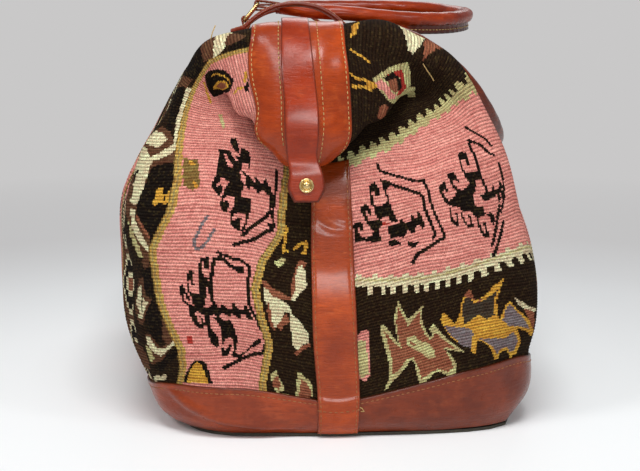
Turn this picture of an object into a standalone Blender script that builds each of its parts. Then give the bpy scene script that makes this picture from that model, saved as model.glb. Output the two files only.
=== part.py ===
# Kilim weekender bag with folded ends, leather trim, rolled handles and brass rings.
# Metres, +Z up, +X to the right of the end that faces -Y. The origin is on the floor,
# midway between the two ends, under the seam of the end straps.
import math

import bmesh
import bpy
import numpy as np
from mathutils import Vector

for old in list(bpy.data.objects):
    bpy.data.objects.remove(old, do_unlink=True)

# overall sizes of the bag body
bag_width = 0.346            # across the base trim at its corners
bag_length = 0.500           # between the feet of the two end seams
bag_height = 0.350           # floor to the mouth where the ends start to fold down
roof_fall = 0.011            # the mouth is this much lower at the far end

# cloth and leather
seat_gap = 0.0003            # between two pieces that touch
seam_gap = 0.0010            # between the two halves of the kilim and of the trim
kilim_thickness = 0.003
leather_thickness = 0.002    # trim and welts
strap_thickness = 0.0025     # end straps, tabs, closing straps
trim_height = 0.042          # base trim at the middle of the long sides
trim_overlap = 0.012         # kilim that runs down behind the trim
welt_width = 0.036
mouth_gap = 0.010            # between the two welts, where the zip lies
strap_width = 0.034          # end straps
strap_end_height = 0.205     # where the end straps stop, under the folded end

# base
sole_thickness = 0.0026
board_thickness = 0.003
board_margin = 0.010         # board edge inside the trim's foot

# tabs that hold the folded ends down
tab_reach = 0.0195           # tab left of the mouth line; its right edge meets the right welt
lip_height = 0.0055          # right welt's turned edge, above the kilim
lip_width = 0.004
tab_slack = 0.0005           # tab above the left welt's edge
tab_end_width = 0.029
tab_drop = 0.018             # tab below the tip of the folded end
stud_diameter = 0.012
stud_dome = 0.0026
post_diameter = 0.003

# zip
zip_half_length = 0.185
tape_width = 0.014
chain_width = 0.0034
chain_thickness = 0.0024
chain_drop = 0.0007          # middle of the chain below the kilim's inner face
slider_length = 0.014
slider_width = 0.0084
slider_wall = 0.0012
slider_clearance = 0.0004
slider_back = 0.049          # closed slider, from the end of the zip
lug_width = 0.002
lug_wall = 0.0009
pull_length = 0.030
pull_width = 0.007
pull_thickness = 0.0016

# rings and the loops that hold them
ring_bar = 0.003             # diameter of the ring's bar
ring_clearance = 0.001       # between a ring's sides and the leather through it
ring_height = 0.022
ring_corner = 0.003
loop_width = 0.022
loop_thickness = 0.0018
loop_foot = 0.026            # sewn part of each ring loop
left_ring_y = 0.097
right_ring_y = 0.123
left_ring_slack = 0.0061     # lower bar above its lowest place, in an upright loop
right_ring_slack = 0.0007    # the same, in a low loop
left_ring_lean = math.radians(50)
right_ring_lean = math.radians(0)
ring_inset = 0.004           # lower bar outside the welt's edge

# rolled handles
handle_diameter = 0.013
flange_depth = 0.007
flange_thickness = 0.0036
left_handle_reach = 0.2075   # from the ring's bar to the middle of the grip
right_handle_reach = 0.143
right_handle_drop = 0.113
handle_tab_length = 0.020    # from the ring's bar to where the roll starts
flange_reach = 0.122         # from the ring's bar to where the left flange starts
flange_rise = 0.022          # over which it grows to its full depth

# closing straps
closing_gap = 0.013          # along the bag, from the right ring's loop
closing_width = 0.018
closing_foot = 0.012
closing_rise = 0.020
closing_inset = 0.006        # foot outside the welt's edge
closing_thickness = 0.0035

# Guide points of the bag body, in millimetres for a bag 346 wide, 500 long and 350 high.
# Each entry is one guide line from the foot to the mouth: its place along the girth, then
# its points. Line 0 is the end seam, 146 the corner, 385 the middle of the long side.
heights = (-50, -25, 0, 55, 110, 160, 205, 245, 280, 310, 335, 360, 385)
right_guides = (
    (0, ((0, -246, 6), (0, -255, 16), (0, -259, 34), (-4, -266, 88), (-7, -267, 142),
         (-8, -262, 191), (-7, -241, 231), (-7, -208, 258), (-8, -188, 280), (-14, -208, 288),
         (-20, -233, 275), (-25, -255, 252), (-28, -272, 224))),
    (25, ((25, -245, 6), (25, -254, 18), (26, -259, 39), (24, -266, 94), (22, -267, 148),
          (20, -262, 197), (18, -240, 236), (15, -209, 261), (11, -191, 283), (6, -213, 286),
          (-3, -245, 256), (-14, -266, 239), (-30, -281, 245))),
    (50, ((50, -244, 6), (51, -254, 20), (52, -259, 45), (52, -266, 100), (51, -268, 154),
          (48, -261, 202), (43, -238, 240), (36, -211, 266), (30, -196, 287), (22, -224, 282),
          (11, -260, 257), (-8, -279, 258), (-30, -286, 266))),
    (75, ((74, -243, 6), (76, -253, 22), (78, -258, 51), (79, -265, 106), (78, -268, 160),
          (74, -260, 208), (68, -237, 246), (58, -217, 273), (48, -209, 291), (35, -242, 272),
          (15, -262, 273), (-8, -276, 280), (-31, -283, 291))),
    (100, ((98, -241, 6), (102, -251, 24), (104, -256, 58), (105, -264, 112), (104, -267, 166),
           (99, -257, 214), (91, -236, 253), (79, -221, 280), (65, -219, 294), (42, -244, 291),
           (14, -263, 303), (-9, -273, 310), (-31, -276, 313))),
    (125, ((124, -236, 6), (131, -245, 27), (134, -249, 62), (137, -256, 116), (136, -258, 170),
           (127, -250, 220), (112, -233, 261), (91, -222, 291), (65, -228, 309), (36, -245, 317),
           (11, -257, 326), (-10, -263, 331), (-31, -264, 331))),
    (146, ((142, -226, 6), (153, -234, 30), (158, -237, 64), (163, -241, 118), (161, -243, 172),
           (148, -238, 224), (126, -229, 267), (98, -225, 302), (67, -231, 322), (37, -242, 333),
           (12, -248, 340), (-10, -251, 341), (-31, -251, 341))),
    (190, ((150, -194, 6), (168, -202, 28), (171, -204, 58), (176, -206, 112), (169, -206, 166),
           (151, -203, 217), (128, -198, 262), (102, -195, 302), (70, -197, 325), (38, -203, 338),
           (13, -206, 343), (-9, -208, 345), (-30, -208, 345))),
    (260, ((152, -130, 6), (171, -132, 22), (174, -132, 48), (184, -133, 102), (177, -133, 156),
           (155, -132, 209), (131, -131, 250), (104, -130, 286), (71, -130, 313), (39, -131, 330),
           (14, -133, 339), (-8, -135, 343), (-30, -136, 345))),
    (385, ((152, 0, 6), (172, 0, 20), (176, 0, 42), (186, 0, 96), (181, 0, 150), (160, 0, 206),
           (134, 0, 248), (106, 0, 285), (72, 0, 312), (40, 0, 329), (15, 0, 339), (-8, 0, 343),
           (-30, 0, 345))),
)
left_guides = (
    right_guides[0],
    (25, ((-25, -245, 6), (-25, -254, 17), (-26, -259, 38), (-30, -266, 92), (-31, -267, 147),
          (-31, -262, 195), (-29, -240, 235), (-28, -209, 261), (-29, -191, 283), (-34, -215, 286),
          (-40, -246, 257), (-42, -267, 239), (-30, -281, 245))),
    (50, ((-50, -243, 6), (-52, -253, 18), (-53, -258, 43), (-55, -266, 97), (-57, -268, 152),
          (-57, -262, 200), (-55, -240, 240), (-53, -212, 266), (-52, -197, 287), (-58, -226, 283),
          (-63, -261, 259), (-50, -279, 260), (-30, -286, 266))),
    (75, ((-72, -242, 6), (-76, -252, 19), (-79, -256, 46), (-83, -265, 101), (-85, -268, 156),
          (-84, -261, 204), (-80, -240, 244), (-76, -219, 273), (-73, -210, 291), (-79, -243, 276),
          (-65, -264, 280), (-50, -276, 285), (-31, -283, 291))),
    (100, ((-94, -239, 6), (-100, -249, 20), (-104, -254, 47), (-110, -262, 102),
           (-112, -265, 157), (-110, -257, 206), (-104, -239, 247), (-98, -223, 276),
           (-93, -220, 292), (-88, -238, 293), (-71, -255, 303), (-52, -268, 308),
           (-31, -276, 313))),
    (125, ((-111, -230, 6), (-124, -240, 20), (-130, -244, 46), (-140, -251, 100),
           (-143, -253, 155), (-140, -248, 207), (-131, -235, 249), (-121, -227, 281),
           (-110, -227, 301), (-96, -237, 314), (-76, -247, 324), (-54, -258, 330),
           (-31, -264, 331))),
    (146, ((-121, -219, 6), (-140, -228, 19), (-148, -232, 44), (-160, -237, 98),
           (-166, -239, 153), (-163, -236, 206), (-149, -229, 249), (-134, -226, 284),
           (-118, -228, 309), (-99, -235, 325), (-77, -243, 336), (-55, -249, 341),
           (-31, -251, 341))),
    (190, ((-128, -192, 6), (-149, -197, 18), (-159, -199, 40), (-178, -201, 94),
           (-181, -202, 149), (-177, -200, 204), (-153, -197, 248), (-136, -195, 284),
           (-121, -196, 312), (-102, -200, 331), (-78, -203, 340), (-54, -207, 344),
           (-30, -208, 345))),
    (260, ((-130, -130, 6), (-151, -131, 17), (-161, -132, 39), (-183, -133, 93),
           (-186, -133, 148), (-182, -132, 203), (-157, -131, 249), (-139, -130, 285),
           (-122, -130, 313), (-102, -131, 330), (-78, -133, 340), (-54, -135, 344),
           (-30, -136, 345))),
    (385, ((-130, 0, 6), (-152, 0, 17), (-162, 0, 39), (-185, 0, 93), (-189, 0, 148),
           (-185, 0, 204), (-161, 0, 250), (-142, 0, 286), (-124, 0, 312), (-102, 0, 328),
           (-77, 0, 338), (-54, 0, 343), (-30, 0, 345))),
)
girth_end = 770.0            # far end seam, mirrored from the near one
mouth = 385.0

mm = 1000.0
ring_width = loop_width + 2 * (ring_bar + ring_clearance)
lowest_bar = 2 * seat_gap + loop_thickness + ring_bar / 2
left_ring_rise = lowest_bar + left_ring_slack
right_ring_rise = lowest_bar + right_ring_slack
closing_y = right_ring_y + loop_width / 2 + closing_gap + closing_width / 2
body_scale = np.array((bag_width / 346.0, bag_length / 500.0, bag_height / 350.0))


def hermite_row(x, knots):
    """Weights of the guide points at x, for a smooth curve through all of them."""
    n = len(knots)
    i = int(min(max(np.searchsorted(knots, x) - 1, 0), n - 2))
    h = knots[i + 1] - knots[i]
    s = (x - knots[i]) / h
    out = np.zeros(n)
    out[i] += 2 * s ** 3 - 3 * s ** 2 + 1
    out[i + 1] += 3 * s ** 2 - 2 * s ** 3
    for at, gain in ((i, (s ** 3 - 2 * s ** 2 + s) * h), (i + 1, (s ** 3 - s ** 2) * h)):
        if at == 0:
            step = knots[1] - knots[0]
            out[0] -= gain / step
            out[1] += gain / step
        elif at == n - 1:
            step = knots[-1] - knots[-2]
            out[n - 2] -= gain / step
            out[n - 1] += gain / step
        else:
            a, b = knots[at] - knots[at - 1], knots[at + 1] - knots[at]
            out[at - 1] -= gain * b / (a * (a + b))
            out[at + 1] += gain * a / (b * (a + b))
            out[at] += gain * (b - a) / (a * b)
    return out


def guide_net(side):
    """Guide lines of one half, round to the far end, with one more past each seam."""
    own = right_guides if side > 0 else left_guides
    other = left_guides if side > 0 else right_guides
    flip = np.array((1, -1, 1))
    places = [g[0] for g in own]
    lines = [np.array(g[1], float) for g in own]
    far_places = [girth_end - p for p in places[-2::-1]]
    far_lines = [line * flip for line in lines[-2::-1]]
    beyond = np.array(other[1][1], float)
    places = [-other[1][0]] + places + far_places + [girth_end + other[1][0]]
    lines = [beyond] + lines + far_lines + [beyond * flip]
    return np.array(places, float), np.array(lines) * body_scale


nets = {1: guide_net(1), -1: guide_net(-1)}
height_knots = np.array(heights, float)


def body_point(side, u, v):
    """Point of the bag's inner face, u along the girth and v up from the trim's edge."""
    places, lines = nets[side]
    p = np.einsum("i,ijk,j->k", hermite_row(u, places), lines, hermite_row(v, height_knots))
    share = min(max((p[2] / bag_height - 0.35) / 0.5, 0.0), 1.0)
    p[2] -= roof_fall * share * (p[1] / bag_length + 0.416) / 0.832
    return p


def u_at_y(side, y, v=335.0):
    """Girth place on the near half of a long side where the body crosses y."""
    low, high = 150.0, mouth
    for _ in range(40):
        mid = 0.5 * (low + high)
        if body_point(side, mid, v)[1] < y:
            low = mid
        else:
            high = mid
    return 0.5 * (low + high)


def spread(start, end, count):
    return [start + (end - start) * k / count for k in range(count)]


trim_v = trim_height * mm - 42.0
foot_v = -50.0
kilim_v = trim_v - trim_overlap * mm
step_v = trim_v + 9.0
strap_v = strap_end_height * mm
edge_v = mouth - mouth_gap * mm / 2
welt_v = edge_v - welt_width * mm
tab_v = mouth - tab_reach * mm
lip_v = edge_v - lip_width * mm
crease_v = 280.0
row_v = ([foot_v, 0.5 * (foot_v + kilim_v), kilim_v, trim_v] + spread(step_v, strap_v, 8)
         + spread(strap_v, crease_v, 4) + spread(crease_v, welt_v, 5)
         + spread(welt_v, tab_v, 2) + [tab_v, lip_v, edge_v, mouth])
row_of = {v: j for j, v in enumerate(row_v)}


def quarter(side, ring_y):
    """Column places from the near seam to the middle of one long side."""
    half = strap_width * mm / 2
    cuts = [u_at_y(side, y) for y in (-closing_y - closing_width / 2, -closing_y + closing_width / 2,
                                      -ring_y - loop_width / 2, -ring_y + loop_width / 2)]
    return [0.0] + spread(half, 190.0, 9) + [190.0] + cuts + [0.5 * (cuts[3] + mouth), mouth]


columns = {}
for side, ring_y in ((1, right_ring_y), (-1, left_ring_y)):
    near = quarter(side, ring_y)
    columns[side] = near + [girth_end - u for u in near[-2::-1]]
count = len(columns[1]) - 1
quarter_count = len(near)
ring_u = [(1, u) for u in columns[1]] + [(-1, u) for u in columns[-1][-2:0:-1]]
ring = np.array([[body_point(s, u, v) for v in row_v] for s, u in ring_u])
around = len(ring_u)


def nearer_diagonals():
    """For each cell, whether its rising diagonal lies nearer the smooth body."""
    rising = np.ones((around, len(row_v) - 1), bool)
    for i in range(around):
        side, u = ring_u[i]
        u_next = girth_end if i + 1 == count else (0.0 if i + 1 == around else ring_u[i + 1][1])
        for j in range(len(row_v) - 1):
            middle = body_point(side, 0.5 * (u + u_next), 0.5 * (row_v[j] + row_v[j + 1]))
            k = (i + 1) % around
            up = 0.5 * (ring[i, j] + ring[k, j + 1]) - middle
            down = 0.5 * (ring[k, j] + ring[i, j + 1]) - middle
            rising[i, j] = np.linalg.norm(up) <= np.linalg.norm(down)
    return rising


rises = nearer_diagonals()


def cross_normals(points):
    """Outward unit normal at each grid point, from the faces round it."""
    total = np.zeros_like(points)
    nxt = np.roll(points, -1, axis=0)
    face = np.cross(nxt[:, :-1] - points[:, :-1], points[:, 1:] - points[:, :-1]) \
        + np.cross(nxt[:, 1:] - points[:, 1:], nxt[:, 1:] - nxt[:, :-1])
    for di in (0, 1):
        part = np.roll(face, di, axis=0)
        total[:, :-1] += part
        total[:, 1:] += part
    return total / np.linalg.norm(total, axis=2, keepdims=True)


normals = cross_normals(ring)
# across the closed mouth both halves share one direction
for i in range(1, count):
    both = normals[i, -1] + normals[around - i, -1]
    normals[i, -1] = normals[around - i, -1] = both / np.linalg.norm(both)


def at(i, j, offset):
    """Point at a fractional column and row of the ring, moved out along the normal."""
    i0, j0 = int(math.floor(i + 1e-9)), int(math.floor(j + 1e-9))
    j0 = min(j0, len(row_v) - 2)
    fi, fj = i - i0, j - j0
    p = np.zeros(3)
    n = np.zeros(3)
    for a, wa in ((i0, 1 - fi), (i0 + 1, fi)):
        for b, wb in ((j0, 1 - fj), (j0 + 1, fj)):
            if wa * wb:
                p += wa * wb * ring[a % around, b]
                n += wa * wb * normals[a % around, b]
    return p + offset * n / np.linalg.norm(n)


def row_at(v):
    """Fractional row of a height."""
    j = int(min(max(np.searchsorted(row_v, v) - 1, 0), len(row_v) - 2))
    return j + (v - row_v[j]) / (row_v[j + 1] - row_v[j])


materials = {}


def material(name, colour, roughness, metallic=0.0):
    m = bpy.data.materials.new(name)
    m.use_nodes = True
    shader = m.node_tree.nodes["Principled BSDF"]
    shader.inputs["Base Color"].default_value = (*colour, 1.0)
    shader.inputs["Roughness"].default_value = roughness
    shader.inputs["Metallic"].default_value = metallic
    m.diffuse_color = (*colour, 1.0)
    materials[name] = m
    return m


material("kilim_wool", (0.42, 0.16, 0.13), 0.95)
material("cognac_leather", (0.30, 0.075, 0.025), 0.38)
material("dark_cognac_leather", (0.20, 0.045, 0.018), 0.40)
material("sole_leather", (0.035, 0.032, 0.024), 0.70)
material("base_board", (0.16, 0.12, 0.08), 0.85)
material("brass", (0.78, 0.63, 0.36), 0.25, 1.0)
material("zip_tape", (0.07, 0.045, 0.03), 0.90)


def add_object(name, verts, faces, mat, smooth=None, origin=None, parent=None):
    shift = Vector(origin) if origin is not None else Vector((0, 0, 0))
    mesh = bpy.data.meshes.new(name)
    mesh.from_pydata([Vector(v) - shift for v in verts], [], faces)
    mesh.materials.append(materials[mat])
    mesh.update()
    if smooth is not None:
        mesh.shade_smooth()
        mesh.set_sharp_from_angle(angle=math.radians(smooth))
    ob = bpy.data.objects.new(name, mesh)
    bpy.context.scene.collection.objects.link(ob)
    ob.location = shift
    return ob


def shell(name, cols, rows, inner, outer, mat, closed=False, lift=0.0, smooth=50):
    """Closed solid between two offsets of the bag body, over some columns and rows.

    cols are ring columns and rows are ring rows, both may be fractional, and rows may be
    a function of the column. inner and outer are offsets or functions of (col, row).
    """
    verts, faces = [], []
    nc = len(cols)
    nr = len(rows(cols[0]) if callable(rows) else rows)

    def value(f, i, j):
        return f(i, j) if callable(f) else f

    for layer in (inner, outer):
        for i in cols:
            for j in (rows(i) if callable(rows) else rows):
                p = at(i, j, value(layer, i, j))
                p[2] = max(p[2], lift)
                verts.append(p)
    size = nc * nr

    def idx(layer, a, b):
        return layer * size + (a % nc) * nr + b

    spans = nc if closed else nc - 1
    for a in range(spans):
        for b in range(nr - 1):
            o = [idx(1, a, b), idx(1, a + 1, b), idx(1, a + 1, b + 1), idx(1, a, b + 1)]
            q = [idx(0, a, b), idx(0, a + 1, b), idx(0, a + 1, b + 1), idx(0, a, b + 1)]
            here = rows(cols[a]) if callable(rows) else rows
            if not rises[int(cols[a] + 1e-6) % around, min(int(here[b] + 1e-6), len(row_v) - 2)]:
                o = o[1:] + o[:1]
                q = q[1:] + q[:1]
            faces += [(o[0], o[1], o[2]), (o[0], o[2], o[3])]
            faces += [(q[0], q[2], q[1]), (q[0], q[3], q[2])]
        for b, flip in ((0, False), (nr - 1, True)):
            f = [idx(0, a, b), idx(0, a + 1, b), idx(1, a + 1, b), idx(1, a, b)]
            if flip:
                f.reverse()
            faces += [(f[0], f[1], f[2]), (f[0], f[2], f[3])]
    if not closed:
        for a, flip in ((0, True), (nc - 1, False)):
            for b in range(nr - 1):
                f = [idx(0, a, b), idx(0, a, b + 1), idx(1, a, b + 1), idx(1, a, b)]
                if flip:
                    f.reverse()
                faces += [(f[0], f[1], f[2]), (f[0], f[2], f[3])]
    return add_object(name, verts, faces, mat, smooth)


def seam_inset(cols, distance):
    """Columns with the first and last moved in from their seams by a distance."""
    def width(i, j, step):
        return np.linalg.norm(ring[(i + step) % around, j] - ring[i % around, j])
    first, last = cols[0], cols[-1]
    a = distance / np.mean([width(first, j, 1) for j in range(len(row_v))])
    b = distance / np.mean([width(last, j, -1) for j in range(len(row_v))])
    return [first + a] + list(cols[1:-1]) + [last - b]


right_cols = list(range(0, count + 1))
left_cols = list(range(count, around + 1))
j_foot, j_kilim, j_trim = 0, row_of[kilim_v], row_of[trim_v]
j_strap, j_welt = row_of[strap_v], row_of[welt_v]
j_tab, j_lip, j_edge, j_mouth = row_of[tab_v], row_of[lip_v], row_of[edge_v], row_of[mouth]
beak_cols = 12               # columns from the seam to where the zip starts


def from_seam(i):
    """Columns between i and the nearer end seam."""
    i = i % around
    return min(i, abs(count - i), around - i)


k_out = kilim_thickness
l_in = k_out + seat_gap
l_out = l_in + leather_thickness
over_trim = l_out + seat_gap


def mouth_rows(i):
    """Rows next to the mouth: wide apart along the zip, nearly meeting on the folded ends."""
    if from_seam(i) >= beak_cols - 1:
        return [j_tab, j_lip - 0.5, j_lip, j_edge]
    if from_seam(i) < 0.5:
        return [j_tab - 0.4, j_tab + 0.1, j_tab + 0.6, j_lip]
    return [j_tab, j_lip, j_edge, j_mouth - 0.12]


def kilim_rows(i):
    return list(range(j_kilim, j_tab)) + mouth_rows(i)


for name, cols in (("kilim_right", right_cols), ("kilim_left", left_cols)):
    shell(name, seam_inset(cols, seam_gap / 2), kilim_rows, 0.0, k_out, "kilim_wool")

# base trim in two halves, sewn over the foot of the kilim
for name, cols in (("base_trim_right", right_cols), ("base_trim_left", left_cols)):
    shell(name, seam_inset(cols, seam_gap / 2), [j_foot, 1, j_kilim, j_trim], l_in, l_out,
          "cognac_leather", lift=sole_thickness + seat_gap)


def foot_outline(outward):
    """Outline of the bag's foot on the floor, moved outward."""
    pts = []
    for i in range(around):
        p = at(i, 0, l_out)
        n = normals[i, 0].copy()
        n[2] = 0
        n /= np.linalg.norm(n)
        pts.append((p[0] + outward * n[0], p[1] + outward * n[1]))
    return pts


def slab(name, outline, low, high, mat):
    n = len(outline)
    verts = [(x, y, z) for z in (low, high) for x, y in outline]
    faces = [tuple(range(n - 1, -1, -1)), tuple(range(n, 2 * n))]
    faces += [(a, (a + 1) % n, n + (a + 1) % n, n + a) for a in range(n)]
    return add_object(name, verts, faces, mat)


slab("sole", foot_outline(0.0012), 0.0, sole_thickness, "sole_leather")
slab("base_board", foot_outline(-board_margin), sole_thickness + seat_gap,
     sole_thickness + seat_gap + board_thickness, "base_board")


# end straps: flat on the kilim, stepping up over the trim's edge
def strap_low(i, j):
    return over_trim if row_v[int(round(j))] <= trim_v + 0.5 else l_in


def strap_high(i, j):
    return strap_low(i, j) + strap_thickness


for name, mid in (("end_strap_near", 0), ("end_strap_far", count)):
    shell(name, [mid - 1, mid, mid + 1], list(range(j_foot, j_strap + 1)), strap_low, strap_high,
          "cognac_leather", lift=sole_thickness + seat_gap)


# welts along the mouth; beside the tab the right one has a thick turned edge
def left_welt_rows(i):
    return [j_welt, j_welt + 1] + mouth_rows(i)


def right_welt_top(i, j):
    if from_seam(i) >= beak_cols - 1 or j < j_edge - 0.2:
        return l_out
    return l_in + lip_height


shell("welt_right", right_cols[1:-1], [j_welt, j_welt + 1, j_tab, j_lip, j_edge], l_in,
      right_welt_top, "cognac_leather")
shell("welt_left", left_cols[1:-1], left_welt_rows, l_in, l_out, "cognac_leather")


def strip(name, stations, thickness, mat, smooth=40):
    """Leather strip through stations of (left, right, up); it grows upward by thickness."""
    verts, faces = [], []
    for left, right, up in stations:
        up = Vector(up).normalized() * thickness
        verts += [Vector(left), Vector(right), Vector(right) + up, Vector(left) + up]
    n = len(stations)
    for a in range(n - 1):
        for k in range(4):
            b, m = 4 * a, (k + 1) % 4
            faces.append((b + k, b + m, b + 4 + m, b + 4 + k))
    faces += [(3, 2, 1, 0), tuple(4 * (n - 1) + k for k in range(4))]
    ob = add_object(name, verts, faces, mat)
    outward(ob)
    if smooth:
        ob.data.shade_smooth()
        ob.data.set_sharp_from_angle(angle=math.radians(smooth))
    return ob


def outward(ob):
    bm = bmesh.new()
    bm.from_mesh(ob.data)
    bmesh.ops.recalc_face_normals(bm, faces=bm.faces)
    bm.to_mesh(ob.data)
    bm.free()


def lathe(name, profile, centre, axis, mat, steps=20):
    """Turned solid: profile of (radius, along), radius 0 at both ends."""
    axis = Vector(axis).normalized()
    turn = Vector((0, 0, 1)).rotation_difference(axis).to_matrix()
    verts, faces, rings = [], [], []
    for r, h in profile:
        if r == 0:
            rings.append([len(verts)])
            verts.append(Vector(centre) + turn @ Vector((0, 0, h)))
        else:
            rings.append(list(range(len(verts), len(verts) + steps)))
            for k in range(steps):
                a = 2 * math.pi * k / steps
                verts.append(Vector(centre) + turn @ Vector((r * math.cos(a), r * math.sin(a), h)))
    for low, high in zip(rings[:-1], rings[1:]):
        for k in range(steps):
            m = (k + 1) % steps
            if len(low) == 1:
                faces.append((low[0], high[m], high[k]))
            elif len(high) == 1:
                faces.append((low[k], low[m], high[0]))
            else:
                faces.append((low[k], low[m], high[m], high[k]))
    ob = add_object(name, verts, faces, mat)
    outward(ob)
    ob.data.shade_smooth()
    ob.data.set_sharp_from_angle(angle=math.radians(40))
    return ob


def bore(ob, centre, axis, diameter, depth):
    """Round hole through a piece of leather."""
    bpy.ops.mesh.primitive_cylinder_add(vertices=16, radius=diameter / 2, depth=depth)
    cutter = bpy.context.object
    cutter.name = ob.name + "_cutter"
    cutter.rotation_mode = "QUATERNION"
    cutter.rotation_quaternion = Vector((0, 0, 1)).rotation_difference(Vector(axis))
    cutter.location = Vector(centre)
    cutter.hide_render = True
    cutter.display_type = "WIRE"
    cut = ob.modifiers.new("post_hole", "BOOLEAN")
    cut.operation = "DIFFERENCE"
    cut.object = cutter


# tabs over the folded ends: along the mouth, then hanging past the tip
def tab_stations(far):
    """Low edge points and outward direction of the tab, from the roof to its end."""
    base = over_trim + seat_gap
    out = []
    for i in range(beak_cols - 2, 1, -1):
        r = (count - i) if far else i
        l = (count + i) if far else around - i
        left = at(l, j_tab, base)
        right = at(r, j_edge, base)
        n = normals[r % around, j_mouth]
        chord = right - left
        right = right - chord / np.linalg.norm(chord) * (seat_gap + 0.0002)
        lift = 0.0
        for q in (at(l, j_lip, base), at(l, j_edge, base), at(l, j_mouth - 0.12, base)):
            t = float(np.dot(q - left, chord) / np.dot(chord, chord))
            lift = max(lift, float(np.dot(q - left - t * chord, n)))
        lift += tab_slack
        out.append((left + lift * n, right + lift * n, n))
    return out


tab_half = tab_end_width / 2
for far in (False, True):
    tag = "far" if far else "near"
    sign = -1.0 if far else 1.0
    stations = tab_stations(far)
    left, right, n = (np.array(p) for p in stations[-1])
    tip = at(count if far else 0, j_mouth, 0.0)
    hang = sign * min(sign * left[1], sign * right[1]) - sign * 0.0006
    end_x = float(tip[0])
    end_z = float(tip[2]) - tab_drop
    top_z = float(tip[2]) + 0.004
    for z, half in ((top_z, tab_half * 0.95), (end_z + 0.016, tab_half),
                    (end_z + 0.008, tab_half * 0.98), (end_z + 0.003, tab_half * 0.86),
                    (end_z, tab_half * 0.6)):
        stations.append(((end_x - half, hang, z), (end_x + half, hang, z), (0.0, -sign, 0.0)))
    tab = strip("end_tab_" + tag, stations, strap_thickness, "dark_cognac_leather")
    back = [((end_x - half, hang + sign * seat_gap, z), (end_x + half, hang + sign * seat_gap, z),
             (0.0, sign, 0.0))
            for z, half in ((top_z - 0.002, tab_half), (end_z + 0.008, tab_half + 0.0012),
                            (end_z - 0.0015, tab_half + 0.0008))]
    backing = strip("tab_backing_" + tag, back, leather_thickness, "cognac_leather")
    # press stud: cap and post in front, socket behind the backing
    stud_z = end_z + 0.013
    r, pr = stud_diameter / 2, post_diameter / 2
    through = strap_thickness + leather_thickness + 2 * seat_gap
    face = hang - sign * (strap_thickness + seat_gap)
    lathe("stud_cap_" + tag, ((0, -through), (pr, -through), (pr, 0.0), (r, 0.0), (r, 0.0009),
                              (r * 0.78, 0.0013), (r * 0.6, 0.0006), (r * 0.5, 0.0016),
                              (r * 0.28, stud_dome), (0, stud_dome + 0.0002)),
          (end_x, face, stud_z), (0, -sign, 0), "brass")
    for ob in (tab, backing):
        bore(ob, (end_x, hang, stud_z), (0, 1, 0), post_diameter + 2 * seat_gap, 0.02)
    behind = hang + sign * (leather_thickness + 2 * seat_gap)
    lathe("stud_socket_" + tag, ((0, 0.0003), (pr, 0.0003), (r * 0.8, 0.0), (r * 0.8, 0.0012),
                                 (pr + 0.0008, 0.0022), (0, 0.0022)),
          (end_x, behind, stud_z), (0, sign, 0), "brass")


# zip: a tape behind each edge of the mouth, the closed chain, the slider and its pull
tape_cols = range(beak_cols - 2, count - beak_cols + 3)
tape_edge = mouth - (chain_width / 2 + 3 * seat_gap) * mm
tape_start = row_at(mouth - (mouth_gap / 2 + tape_width) * mm)
tape_rows = [tape_start] + [j for j in range(j_welt, j_edge + 1) if j > tape_start + 0.15]
tape_rows.append(row_at(tape_edge))
tape_low, tape_high = -seat_gap - 0.0008, -seat_gap
shell("zip_tape_right", list(tape_cols), tape_rows, tape_low, tape_high, "zip_tape")
shell("zip_tape_left", [around - i for i in reversed(tape_cols)], tape_rows, tape_low, tape_high,
      "zip_tape")

mouth_start = Vector(at(beak_cols - 1, j_mouth, 0.0))
mouth_end = Vector(at(count - beak_cols + 1, j_mouth, 0.0))
along = (mouth_end - mouth_start).normalized()
across = Vector((1, 0, 0))
upward = across.cross(along)


def on_mouth(y, x=0.0, z=0.0):
    """Point at a distance y from the middle of the mouth, x across it and z above it."""
    middle = mouth_start + along * ((0.0 - mouth_start.y) / along.y)
    return middle + along * y + across * x + upward * z


def block(corners_y, half_width, low, high):
    y0, y1 = corners_y
    return [on_mouth(y, x, z) for z in (low, high)
            for x, y in ((-half_width, y0), (half_width, y0), (half_width, y1), (-half_width, y1))]


box_faces = [(3, 2, 1, 0), (4, 5, 6, 7), (0, 1, 5, 4), (1, 2, 6, 5), (2, 3, 7, 6), (3, 0, 4, 7)]
chain_top = -chain_drop + chain_thickness / 2
add_object("zip_chain", block((-zip_half_length, zip_half_length), chain_width / 2,
                              -chain_drop - chain_thickness / 2, chain_top), box_faces, "brass")


def extrude_outline(name, outline, half_width, holes, mat, origin, x_dir, y_dir, z_dir):
    """Flat outline in y and z, with holes, made solid across x."""
    bm = bmesh.new()
    edges = []
    for loop in [outline] + holes:
        vs = [bm.verts.new(Vector(origin) + y_dir * a + z_dir * b - x_dir * half_width)
              for a, b in loop]
        edges += [bm.edges.new((vs[k], vs[(k + 1) % len(vs)])) for k in range(len(vs))]
    filled = bmesh.ops.triangle_fill(bm, edges=edges, use_beauty=True)["geom"]
    faces = [g for g in filled if isinstance(g, bmesh.types.BMFace)]
    pushed = bmesh.ops.extrude_face_region(bm, geom=faces)["geom"]
    for v in (g for g in pushed if isinstance(g, bmesh.types.BMVert)):
        v.co += x_dir * 2 * half_width
    bmesh.ops.recalc_face_normals(bm, faces=bm.faces)
    mesh = bpy.data.meshes.new(name)
    shift = Vector(origin)
    for v in bm.verts:
        v.co -= shift
    bm.to_mesh(mesh)
    bm.free()
    mesh.materials.append(materials[mat])
    ob = bpy.data.objects.new(name, mesh)
    bpy.context.scene.collection.objects.link(ob)
    ob.location = shift
    return ob


def arc(radius, start, end, steps, centre=(0.0, 0.0)):
    return [(centre[0] + radius * math.cos(math.radians(start + (end - start) * k / steps)),
             centre[1] + radius * math.sin(math.radians(start + (end - start) * k / steps)))
            for k in range(steps + 1)]


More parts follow.
